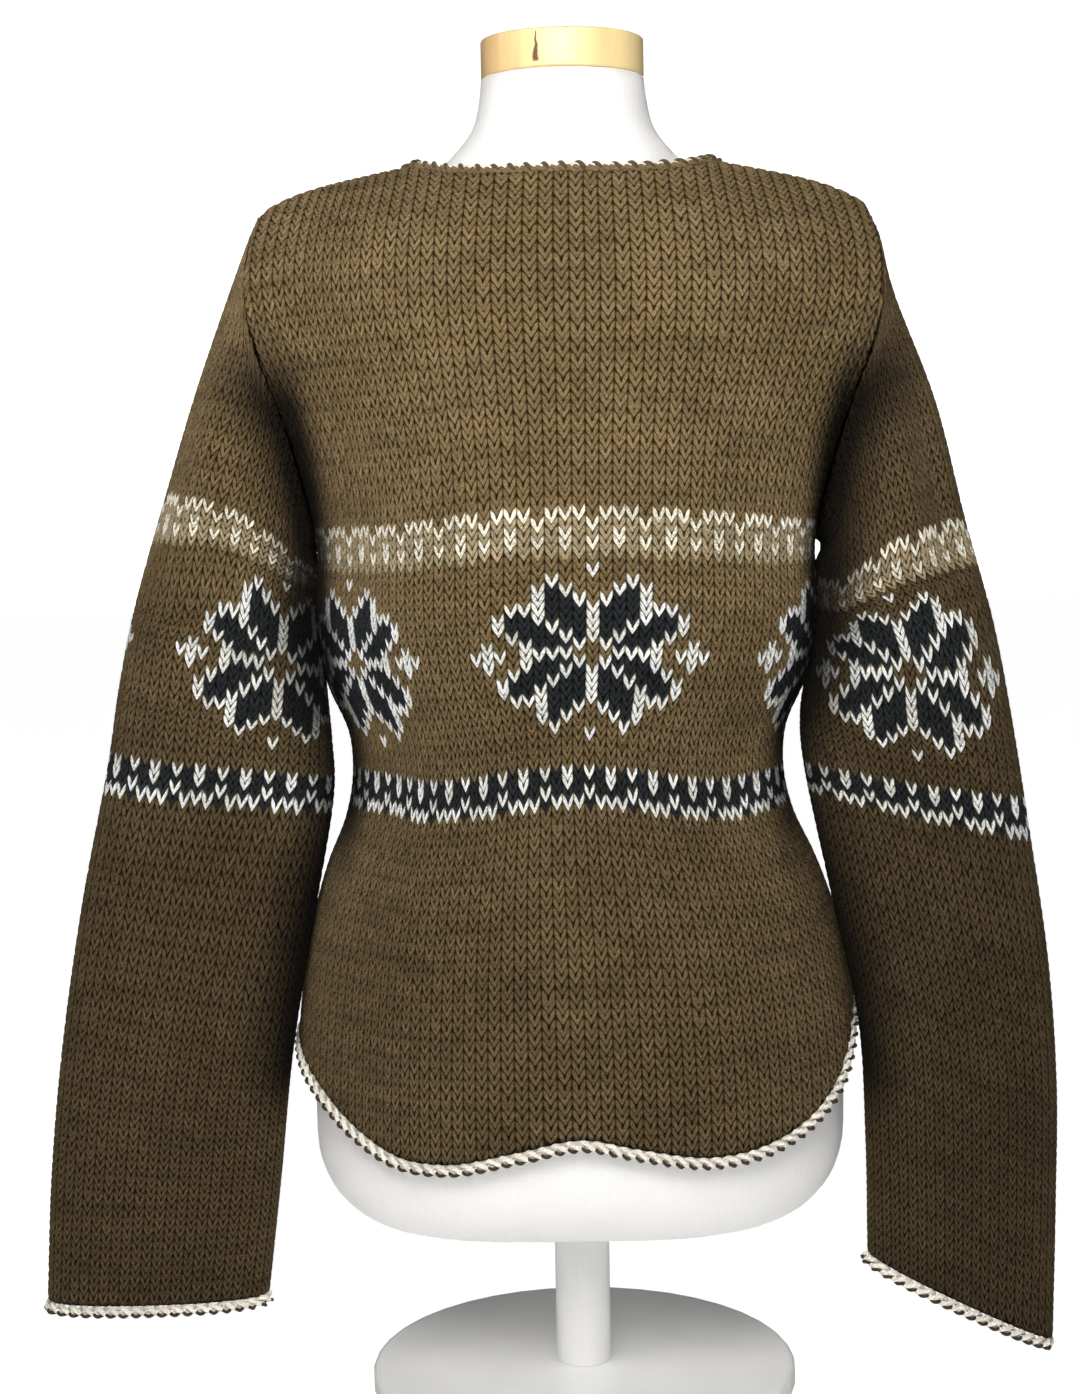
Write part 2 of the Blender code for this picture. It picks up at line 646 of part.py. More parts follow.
def form_ring(height, inset=0.0, drop=0.0):
    """Level ring of the form, made smaller by inset and lowered by drop."""
    out = np.linspace(0, 0.2, 2001)
    reach = out[form_depth(-1, height, out) > 1e-5].max()
    turn = 2 * math.pi * np.arange(FORM_SIDES) / FORM_SIDES
    x = reach * np.sin(turn)
    front, back = form_depth(-1, height, x), form_depth(1, height, x)
    y = np.where(np.cos(turn) > 0, -front, back)
    y[np.abs(np.cos(turn)) < 1e-9] = 0
    keep = 1 - inset / np.hypot(x, y)
    x = x * keep + float(at_height(BODY_LEVELS, "middle", height))
    return np.column_stack((x, y * keep, np.full_like(x, height - drop)))


def make_form(material):
    """Make the dress form: rounded bottom, trunk, shoulders and neck, as one closed solid."""
    round_top = FORM_BOTTOM + FORM_BOTTOM_ROUND
    rings = []
    for angle in np.linspace(0, math.pi / 2, 7)[:-1]:
        inset = FORM_BOTTOM_ROUND * (1 - math.sin(angle))
        rings.append(form_ring(round_top, inset, FORM_BOTTOM_ROUND * math.cos(angle)))
    heights = np.concatenate((
        np.linspace(round_top, 0.70, 16),
        np.linspace(0.72, 0.755, 4),
        np.linspace(0.762, FORM_SHOULDER_TOP, 8),
        FORM_SHOULDER_TOP + np.array((0.0008, 0.0020, 0.0036)),
        (0.796, 0.804, 0.813, 0.825, FORM_NECK_TOP),
    ))
    rings += [form_ring(height) for height in heights]
    add_object("form_torso", np.concatenate(rings), loft_faces(len(rings), FORM_SIDES, False), material)


def make_turned(name, profile, sides, material):
    """Make a turned piece from a profile of (radius, height) points, closed at both ends."""
    turn = 2 * math.pi * np.arange(sides) / sides
    rings = [np.column_stack((r * np.cos(turn), r * np.sin(turn), turn * 0 + z)) for r, z in profile]
    add_object(name, np.concatenate(rings), loft_faces(len(rings), sides, False), material, 40)


def rounded_disc(radius, bottom, top, rounding, both):
    """Profile of a disc with a rounded upper edge, and a rounded lower edge if both is true."""
    steps = np.linspace(0, math.pi / 2, 4)
    upper = [(radius - rounding * (1 - math.cos(a)), top - rounding * (1 - math.sin(a))) for a in steps]
    lower = [(radius, bottom)]
    if both:
        lower = [(radius - rounding * (1 - math.sin(a)), bottom + rounding * (1 - math.cos(a))) for a in steps]
    return lower + upper


def main():
    """Build every piece."""
    clear_scene()
    brown, cream, white = (0.115, 0.082, 0.045), (0.800, 0.760, 0.680), (0.880, 0.870, 0.850)
    make_panel("sweater_front", -1, new_material("front_knit", brown, 0.95))
    make_panel("sweater_back", 1, new_material("back_knit", brown, 0.95))
    for name, side, table, folds in (
        ("left", -1, LEFT_SLEEVE, LEFT_FOLDS),
        ("right", 1, RIGHT_SLEEVE, RIGHT_FOLDS),
    ):
        knit = new_material(f"sleeve_{name}_knit", brown, 0.95)
        outer, inner = make_sleeve(f"sleeve_{name}", side, table, folds, knit)
        make_cord(f"cuff_edging_{name}", outer[-1], inner[-1], (outer[-2] + inner[-2]) / 2,
                  new_material(f"cuff_{name}_cord", cream, 0.9))
    make_body_cords({
        "front": new_material("hem_front_cord", cream, 0.9),
        "back": new_material("hem_back_cord", cream, 0.9),
        "neck": new_material("neck_cord", brown, 0.9),
    })
    make_form(new_material("form_jersey", (0.860, 0.830, 0.780), 0.8))
    make_turned("form_neck_cap", rounded_disc(CAP_RADIUS, CAP_BOTTOM, CAP_TOP, CAP_ROUND, True), CAP_SIDES,
                new_material("cap_wood", (0.900, 0.720, 0.460), 0.45))
    make_turned("stand_post", [(POST_RADIUS, FOOT_HEIGHT + SEAM_GAP), (POST_RADIUS, FORM_BOTTOM - SEAM_GAP)],
                TURNED_SIDES, new_material("post_paint", white, 0.35))
    make_turned("stand_foot", rounded_disc(FOOT_RADIUS, 0, FOOT_HEIGHT, FOOT_ROUND, False), TURNED_SIDES,
                new_material("foot_paint", white, 0.35))


main()
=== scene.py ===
import logging
import math
from dataclasses import dataclass, field
from enum import Enum

import bmesh
import bpy
import numpy as np
from mathutils import Matrix, Vector
from mathutils.kdtree import KDTree


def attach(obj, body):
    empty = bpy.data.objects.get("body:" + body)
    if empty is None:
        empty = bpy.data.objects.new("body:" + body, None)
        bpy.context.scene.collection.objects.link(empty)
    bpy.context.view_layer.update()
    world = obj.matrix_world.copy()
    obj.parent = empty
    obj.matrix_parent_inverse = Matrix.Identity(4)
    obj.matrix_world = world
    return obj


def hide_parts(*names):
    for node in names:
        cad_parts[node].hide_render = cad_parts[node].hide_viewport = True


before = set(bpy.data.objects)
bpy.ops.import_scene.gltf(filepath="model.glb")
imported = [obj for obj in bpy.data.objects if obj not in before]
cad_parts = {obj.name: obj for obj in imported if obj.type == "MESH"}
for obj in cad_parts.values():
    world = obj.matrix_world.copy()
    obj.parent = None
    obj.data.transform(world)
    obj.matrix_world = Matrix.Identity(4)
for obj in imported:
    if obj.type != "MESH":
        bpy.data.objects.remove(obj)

LOG = logging.getLogger("norwegian_sweater")
TURN = 2 * math.pi
ROW_PITCH = 0.0061


class Facing(Enum):
    """Side of the body that a panel covers, as the sign of its Y."""

    FRONT = -1
    BACK = 1


class Yarn(Enum):
    """Yarns of the colour pattern."""

    BROWN = 0
    TAUPE = 1
    CREAM = 2
    WHITE = 3
    CHARCOAL = 4


@dataclass(frozen=True)
class Level:
    """Level section of the sweater's body; middle is its sideways shift."""

    height: float
    half_width: float
    front: float
    back: float
    middle: float


@dataclass(frozen=True)
class EdgePoint:
    """Place on the armhole's edge: its height and its distance from the middle."""

    height: float
    out: float


@dataclass(frozen=True)
class HemPoint:
    """Place on the hem's edge: its way round from the centre line to a side seam, and its height."""

    way_round: float
    height: float


@dataclass(frozen=True)
class SleeveRing:
    """Ring of a sleeve: distance out and height of its outer and inner edge, and its depth."""

    outer_x: float
    outer_z: float
    inner_x: float
    inner_z: float
    middle_y: float
    half_depth: float


@dataclass(frozen=True)
class Fold:
    """Long soft fold of a sleeve, a valley where its height is negative.

    turn runs from 0 at the outer edge over 0.25 at the front; start and end are shares of the length.
    """

    turn: float
    turn_width: float
    start: float
    end: float
    height: float


@dataclass(frozen=True)
class RowPlace:
    """Where a row of stitches lies along a sleeve.

    share is its share of the sleeve's length at the front and back, tilt how much further down it is
    at the outer edge, dip how much further down it is at the fold beside the body, and shift where
    the star's axis lies, in columns from the outer edge.
    """

    row: float
    share: float
    tilt: float
    dip: float
    shift: float


def smooth_curve(knots: list, values: list, places: np.ndarray) -> np.ndarray:
    """Read a smooth curve through given points.

    Args:
        knots: Rising places of the known values.
        values: Known values, one number or array for each knot.
        places: Places to read.

    Returns:
        The values at the places.
    """
    knots = np.asarray(knots, dtype=float)
    values = np.asarray(values, dtype=float)
    places = np.clip(np.asarray(places, dtype=float), knots[0], knots[-1])
    slopes = np.gradient(values, knots, axis=0)
    index = np.clip(np.searchsorted(knots, places, side="right") - 1, 0, len(knots) - 2)
    width = knots[index + 1] - knots[index]
    u = (places - knots[index]) / width
    if values.ndim > 1:
        trailing = (slice(None),) + (None,) * (values.ndim - 1)
        u, width = u[trailing], width[trailing]
    return (
        (2 * u**3 - 3 * u**2 + 1) * values[index] + (u**3 - 2 * u**2 + u) * width * slopes[index]
        + (3 * u**2 - 2 * u**3) * values[index + 1] + (u**3 - u**2) * width * slopes[index + 1]
    )


def unit(vectors: np.ndarray) -> np.ndarray:
    """Vectors along the last axis, each made one long."""
    return vectors / np.maximum(np.linalg.norm(vectors, axis=-1, keepdims=True), 1e-12)


def ease(share: np.ndarray) -> np.ndarray:
    """Smooth step of a share from 0 to 1."""
    return share * share * (3 - 2 * share)


def read_table(table: tuple, key: str, name: str, places: np.ndarray) -> np.ndarray:
    """Read one named field of a table's rows along another field, the key."""
    known, values = ([getattr(row, field_name) for row in table] for field_name in (key, name))
    return smooth_curve(known, values, places)


def running_length(points: np.ndarray) -> np.ndarray:
    """How far along a line of points each one lies."""
    return np.concatenate(([0], np.cumsum(np.linalg.norm(np.diff(points, axis=0), axis=1))))


def tangents(points: np.ndarray, closed: bool) -> np.ndarray:
    """Unit directions of a line of points, which may be a ring."""
    if closed:
        return unit(np.roll(points, -1, axis=0) - np.roll(points, 1, axis=0))
    return unit(np.gradient(points, axis=0))


def new_piece(name: str, data: bpy.types.ID) -> bpy.types.Object:
    """Make an object of a mesh, a camera or a lamp, and put it in the scene."""
    piece = bpy.data.objects.new(name, data)
    bpy.context.scene.collection.objects.link(piece)
    return piece


def settle(piece: bpy.types.Object, material: bpy.types.Material | None, node: str) -> None:
    """Dress a piece, hang it on the root body and hide the node of the frame that it stands for.

    Args:
        piece: The piece.
        material: Its one material, or None where it has its own already.
        node: Node of the frame that it stands for.
    """
    if material:
        piece.data.materials.clear()
        piece.data.materials.append(material)
    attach(piece, "root")
    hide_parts(node)
    LOG.info("%s: %d faces, stands for %s", piece.name, len(piece.data.polygons), node)


def read_lines(values: np.ndarray, rows: np.ndarray, places: np.ndarray) -> np.ndarray:
    """Read dense lines of points at new places along them.

    Args:
        values: Points of each line, as lines by samples by coordinates.
        rows: Rising row coordinate of each sample, as lines by samples.
        places: Row coordinates to read, as lines by places.

    Returns:
        The points, as lines by places by coordinates.
    """
    found = np.empty((*places.shape, values.shape[2]))
    for line in range(len(values)):
        for axis in range(values.shape[2]):
            found[line, :, axis] = np.interp(places[line], rows[line], values[line, :, axis])
    return found


@dataclass
class BodyShape:
    """Shape of the sweater's body, from the same tables as its solids."""

    levels: tuple[Level, ...] = (
        Level(0.150, 0.1840, 0.1230, 0.1130, 0.0000),
        Level(0.220, 0.1830, 0.1230, 0.1130, 0.0000),
        Level(0.265, 0.1785, 0.1210, 0.1100, -0.0005),
        Level(0.310, 0.1700, 0.1160, 0.1040, -0.0015),
        Level(0.350, 0.1570, 0.1080, 0.0940, -0.0028),
        Level(0.380, 0.1440, 0.1010, 0.0850, -0.0036),
        Level(0.410, 0.1385, 0.0975, 0.0800, -0.0040),
        Level(0.435, 0.1405, 0.1010, 0.0810, -0.0040),
        Level(0.465, 0.1530, 0.1130, 0.0870, -0.0038),
        Level(0.510, 0.1600, 0.1270, 0.0950, -0.0034),
        Level(0.555, 0.1590, 0.1280, 0.1000, -0.0030),
        Level(0.590, 0.1660, 0.1220, 0.1020, -0.0026),
        Level(0.620, 0.1780, 0.1155, 0.1020, -0.0024),
        Level(0.650, 0.1970, 0.1080, 0.1010, -0.0022),
        Level(0.675, 0.2125, 0.1020, 0.0980, -0.0021),
        Level(0.700, 0.2255, 0.0960, 0.0940, -0.0020),
        Level(0.725, 0.2320, 0.0890, 0.0880, -0.0018),
        Level(0.750, 0.2335, 0.0790, 0.0780, -0.0016),
        Level(0.785, 0.2310, 0.0650, 0.0630, -0.0008),
        Level(0.830, 0.2310, 0.0600, 0.0580, 0.0000),
    )
    armhole: tuple[EdgePoint, ...] = (
        EdgePoint(0.558, 0.1700),
        EdgePoint(0.566, 0.1603),
        EdgePoint(0.590, 0.1650),
        EdgePoint(0.620, 0.1718),
        EdgePoint(0.650, 0.1820),
        EdgePoint(0.675, 0.1900),
        EdgePoint(0.700, 0.1960),
        EdgePoint(0.725, 0.1970),
        EdgePoint(0.745, 0.1950),
    )
    hem: tuple[HemPoint, ...] = (
        HemPoint(-1.00, 0.2430),
        HemPoint(-0.84, 0.2280),
        HemPoint(-0.70, 0.2105),
        HemPoint(-0.58, 0.1925),
        HemPoint(-0.47, 0.1800),
        HemPoint(-0.34, 0.1775),
        HemPoint(-0.16, 0.1865),
        HemPoint(0.00, 0.1940),
        HemPoint(0.14, 0.1870),
        HemPoint(0.32, 0.1795),
        HemPoint(0.46, 0.1830),
        HemPoint(0.60, 0.1960),
        HemPoint(0.72, 0.2160),
        HemPoint(0.84, 0.2460),
        HemPoint(1.00, 0.2660),
    )
    wall: float = 0.0045
    seam_gap: float = 0.0003
    section_power: float = 2.3
    neck_half_width: float = 0.097
    neck_side_height: float = 0.7925
    neck_drop: float = 0.0110
    neck_rise: float = 0.4
    shoulder_half_width: float = 0.190
    shoulder_slope: float = 0.20
    shoulder_drop: float = 0.0085
    shoulder_power: float = 5.0
    shoulder_round: float = 0.060
    armpit_height: float = 0.558
    way_step: float = 0.004
    height_step: float = 0.0005
    samples: int = 240
    quarter_samples: int = 61

    def __post_init__(self) -> None:
        """Work out the shoulder's end and the neck's corner."""
        self.end_height = float(self.top_line(self.shoulder_half_width))
        self.end_way = self.way_at(self.end_height, self.shoulder_half_width)
        self.neck_way = self.way_at(self.neck_side_height, self.neck_half_width)

    def column(self, name: str, heights: np.ndarray) -> np.ndarray:
        """One named column of the levels, read at heights."""
        return read_table(self.levels, "height", name, heights)

    def top_line(self, out: np.ndarray) -> np.ndarray:
        """Height at which front and back meet over a distance out from the middle."""
        beyond = np.abs(out) - self.neck_half_width
        span = self.shoulder_half_width - self.neck_half_width
        late = np.maximum(beyond / span, 0) ** self.shoulder_power
        over = self.shoulder_slope * beyond + self.shoulder_drop * late
        return self.neck_side_height - np.where(beyond > 0, over, self.neck_rise * beyond)

    def neck_line(self, out: np.ndarray) -> np.ndarray:
        """Height of the neck opening's edge over a distance out from the middle."""
        across = np.clip(np.abs(out) / self.neck_half_width, 0, 1)
        return self.neck_side_height - self.neck_drop * (1 - across**4)

    def rounding_below(self, line: np.ndarray, heights: np.ndarray) -> np.ndarray:
        """Share of the full depth that is left at heights just below a top line."""
        u = np.clip((line - heights) / self.shoulder_round, 0, 1)
        return np.sqrt(1 - (1 - u) ** 2)

    def quarter_section(self, half_width: np.ndarray,
                        depth: np.ndarray) -> tuple[np.ndarray, np.ndarray, np.ndarray]:
        """Points of a quarter of each level section, from the middle to the side.

        Args:
            half_width: Half of each section's width.
            depth: Each section's depth in front of or behind the middle.

        Returns:
            Distances out, depths and ways round of the points, a row for each section.
        """
        angle = np.linspace(0, math.pi / 2, self.quarter_samples)
        out = np.multiply.outer(half_width, np.sin(angle) ** (2 / self.section_power))
        deep = np.multiply.outer(depth, np.cos(angle) ** (2 / self.section_power))
        steps = np.hypot(np.diff(out, axis=-1), np.diff(deep, axis=-1))
        length = np.concatenate((np.zeros_like(out[..., :1]), np.cumsum(steps, axis=-1)), axis=-1)
        return out, deep, length / length[..., -1:]

    def flat_points(self, facing: Facing, way: float,
                    heights: np.ndarray) -> tuple[np.ndarray, np.ndarray]:
        """Distances out and depths of the body before it rounds into the shoulders."""
        depth_name = "front" if facing is Facing.FRONT else "back"
        widths, depths = self.column("half_width", heights), self.column(depth_name, heights)
        outs, deeps, ways = self.quarter_section(widths, depths)
        row, last = np.arange(len(heights)), ways.shape[1] - 2
        index = np.clip((ways <= abs(way)).sum(axis=1) - 1, 0, last)
        share = (abs(way) - ways[row, index]) / (ways[row, index + 1] - ways[row, index])
        out = outs[row, index] * (1 - share) + outs[row, index + 1] * share
        deep = deeps[row, index] * (1 - share) + deeps[row, index + 1] * share
        return out, deep

    def points(self, facing: Facing, way: float, heights: np.ndarray) -> np.ndarray:
        """Outer points of the body above one another.

        Args:
            facing: Front or back.
            way: Way round, from 0 at the centre line to 1 or -1 at the side seams.
            heights: Heights of the points.

        Returns:
            One point for each height.
        """
        heights = np.atleast_1d(np.asarray(heights, dtype=float))
        out, deep = self.flat_points(facing, way, heights)
        x = self.column("middle", heights) + math.copysign(1, way) * out
        y = facing.value * deep * self.rounding_below(self.top_line(out), heights)
        return np.column_stack((x, y, heights))

    def way_at(self, height: float, out: float) -> float:
        """Way round of the point of a level section at a distance out from the middle."""
        outs, _, ways = self.quarter_section(float(self.column("half_width", height)),
                                             float(self.column("front", height)))
        return float(np.interp(out, outs, ways))

    def armhole_way(self, heights: np.ndarray) -> np.ndarray:
        """Ways round of the armhole's edge at heights from the armpit to the shoulder's end."""
        rows = self.armhole + (EdgePoint(self.end_height, self.shoulder_half_width),)
        ways = [self.way_at(row.height, row.out) for row in rows]
        return smooth_curve([row.height for row in rows], ways, heights)

    def column_top(self, facing: Facing, way: float) -> float:
        """Height where a column of the cloth ends: at the neck, the shoulder or the armhole."""
        if abs(way) > self.end_way + 1e-6:
            heights = np.linspace(self.end_height, self.armpit_height, self.samples)
            ways = self.armhole_way(heights)
            ways[-1] = 1
            return float(np.interp(abs(way), ways, heights))
        heights = np.linspace(self.armpit_height, self.neck_side_height + 0.01, self.samples)
        out, _ = self.flat_points(facing, way, heights)
        room = np.minimum(self.top_line(out), self.neck_line(out)) - heights
        return float(np.interp(0, -room, heights))

    def hem_height(self, way: float) -> float:
        """Height of the hem's edge at a way round."""
        return float(read_table(self.hem, "way_round", "height", way))

    def normals(self, facing: Facing, way: float, heights: np.ndarray) -> np.ndarray:
        """Outward unit normals of the body's outer face above one another."""
        left, right = max(way - self.way_step, -1), min(way + self.way_step, 1)
        across = self.points(facing, right, heights) - self.points(facing, left, heights)
        upwards = self.points(facing, way, heights) - self.points(facing, way, heights - self.height_step)
        return unit(np.cross(across, upwards) * -facing.value)

    def wall_points(self, facing: Facing, way: float,
                    heights: np.ndarray) -> tuple[np.ndarray, np.ndarray, np.ndarray]:
        """Outer and inner points of the cloth above one another.

        Args:
            facing: Front or back.
            way: Way round.
            heights: Heights of the points.

        Returns:
            Outer points, inner points and outward normals. Those on a seam stay in its plane.
        """
        heights = np.atleast_1d(np.asarray(heights, dtype=float))
        outer = self.points(facing, way, heights)
        normal = self.normals(facing, way, heights)
        if abs(way) > 1 - 1e-6:
            normal[:, 1] = 0
        out, _ = self.flat_points(facing, way, heights)
        ridge = np.abs(self.top_line(out) - heights) < 1e-5
        fall = (self.top_line(out) - self.top_line(out + 1e-4)) / 1e-4
        normal[ridge] = np.column_stack((np.sign(way) * fall, fall * 0, fall * 0 + 1))[ridge]
        normal = unit(normal)
        shift = np.array((0, facing.value * self.seam_gap / 2, 0))
        return outer + shift, outer - self.wall * normal + shift, normal


@dataclass(frozen=True)
class Chart:
    """Colour chart of the knitting: stars between two narrow bands, every 24 columns."""

    repeat: int = 24
    star: tuple[str, ...] = (
        "W.........",
        "...W......",
        "..WKW.....",
        ".WKKW.....",
        "WKKKWWW...",
        "WKKKWKKW..",
        "WKKWKKKW..",
        "WKWKKKW...",
        ".WKKKW..W.",
        "..WWWW.WWW",
    )
    upper_rows: tuple[str, ...] = ("TTTT", "CTCT", "TTCT", "CTTT", ".CCC")
    upper_start: int = 11
    lower_rows: tuple[str, ...] = ("KWWW", "WKKK", "KKWK", "WKWK")
    lower_start: int = -16

    def yarns(self, columns: np.ndarray, rows: np.ndarray, lower_shift: int = 0) -> np.ndarray:
        """Yarn number of each stitch.

        Args:
            columns: Columns counted from a star's axis.
            rows: Rows counted from the stars' middle row.
            lower_shift: Columns by which the lower band is set off from the stars.

        Returns:
            Values of Yarn, shaped like columns and rows together.
        """
        letters = {".": Yarn.BROWN, "T": Yarn.TAUPE, "C": Yarn.CREAM, "W": Yarn.WHITE, "K": Yarn.CHARCOAL}
        columns, rows = np.broadcast_arrays(columns, rows)
        found = np.zeros(columns.shape, dtype=int)
        aside = np.abs((columns + self.repeat // 2) % self.repeat - self.repeat // 2)
        half = len(self.star) - 1
        for index, line in enumerate(self.star):
            for place, letter in enumerate(line):
                found[(np.abs(rows) == half - index) & (aside == place)] = letters[letter].value
        for start, lines, shift in ((self.upper_start, self.upper_rows, 0),
                                    (self.lower_start, self.lower_rows, lower_shift)):
            for index, line in enumerate(lines):
                for place, letter in enumerate(line):
                    here = (rows == start + index) & ((columns - shift) % 4 == place)
                    found[here] = letters[letter].value
        return found


@dataclass
class ClothGrid:
    """Dense lines of a cloth wall, one for each quarter of a column of stitches."""

    outer: np.ndarray
    inner: np.ndarray
    normal: np.ndarray
    rows: np.ndarray
    columns: np.ndarray
    closed: bool


@dataclass(frozen=True)
class Wave:
    """How many rows the knitting of the front hangs below its level at a column.

    lower, middle and upper are for the lower band, the stars' middle row and the upper band.
    """

    column: float
    lower: float
    middle: float
    upper: float


@dataclass
class BodyCloth:
    """Front and back of the knitted body, and how its stitches lie."""

    shape: BodyShape
    front_columns: tuple[int, int] = (-34, 29)
    back_columns: tuple[int, int] = (-27, 27)
    spread: tuple[tuple[float, float], ...] = (
        (-34, -1.0), (-22.5, -0.630), (-14.5, -0.447), (-7.5, -0.247), (1.5, 0.062), (10.5, 0.367),
        (17.5, 0.590), (29, 1.0),
    )
    row_pitch: float = ROW_PITCH
    star_height: float = 0.4888
    edge_reach: float = 0.004
    wave_rows: tuple[int, ...] = (-52, -16, 0, 14, 46)
    waves: tuple[Wave, ...] = (
        Wave(-30, 0.2, 0.9, 2.8),
        Wave(-22, 0.4, 0.8, 2.7),
        Wave(-15, 1.1, 0.5, 2.4),
        Wave(-10, 0.7, 0.3, 1.7),
        Wave(-5, -0.1, -0.1, 1.0),
        Wave(0, -0.6, -0.6, 0.8),
        Wave(5, -0.1, -0.2, 0.9),
        Wave(10, 0.9, 0.4, 1.35),
        Wave(15, 1.5, 0.7, 2.0),
        Wave(20, 1.1, 0.8, 2.6),
        Wave(30, 0.2, 0.9, 2.8),
    )

    def columns(self, facing: Facing) -> np.ndarray:
        """Column coordinates of a panel's lines, from one side seam to the other."""
        first, last = self.front_columns if facing is Facing.FRONT else self.back_columns
        return np.arange(4 * first, 4 * last + 1) / 4

    def way_of(self, facing: Facing, column: float) -> float:
        """Way round of a column, where the front's columns lie closer together towards its left side."""
        if facing is Facing.BACK:
            return column / self.back_columns[1]
        at, ways = zip(*self.spread)
        return float(np.clip(smooth_curve(at, ways, column), -1, 1))

    def grid(self, facing: Facing) -> ClothGrid:
        """Dense lines of one panel.

        Args:
            facing: Front or back.

        Returns:
            The panel's outer and inner face with the row coordinate of every sample.
        """
        shape, columns = self.shape, self.columns(facing)
        lines = []
        for column in columns:
            way = self.way_of(facing, column)
            low, high = shape.hem_height(way), shape.column_top(facing, way)
            heights = low + (high - low) * (1 - (1 - np.linspace(0, 1, shape.samples)) ** 2)
            outer, inner, normal = shape.wall_points(facing, way, heights)
            length = running_length(outer)
            start = np.interp(self.star_height, heights, length)
            rows = (length - start) / self.row_pitch
            rows = rows + self.wave(column if facing is Facing.FRONT else self.waves[-1].column, rows)
            lines.append((outer, inner, normal, rows))
        outer, inner, normal, rows = (np.array(part) for part in zip(*lines))
        return ClothGrid(outer, inner, normal, rows, columns, closed=False)

    def wave(self, column: float, rows: np.ndarray) -> np.ndarray:
        """How many rows the knitting hangs down at a column, for each row."""
        names = ("lower", "middle", "upper")
        hang = [float(read_table(self.waves, "column", name, column)) for name in names]
        return np.interp(rows, self.wave_rows, (0, *hang, 0))

    def edge_points(self, facing: Facing, ways: np.ndarray, at_top: bool) -> tuple[np.ndarray, ...]:
        """Outer edge line, inner edge line and a line just inside the cloth, along a panel's edge."""
        shape, lines = self.shape, []
        for way in ways:
            height = shape.column_top(facing, way) if at_top else shape.hem_height(way)
            outer, inner, _ = shape.wall_points(facing, way, np.array([height]))
            inward = -self.edge_reach if at_top else self.edge_reach
            cloth = shape.wall_points(facing, way, np.array([height + inward]))
            lines.append((outer[0], inner[0], (cloth[0][0] + cloth[1][0]) / 2))
        return tuple(np.array(line) for line in zip(*lines))


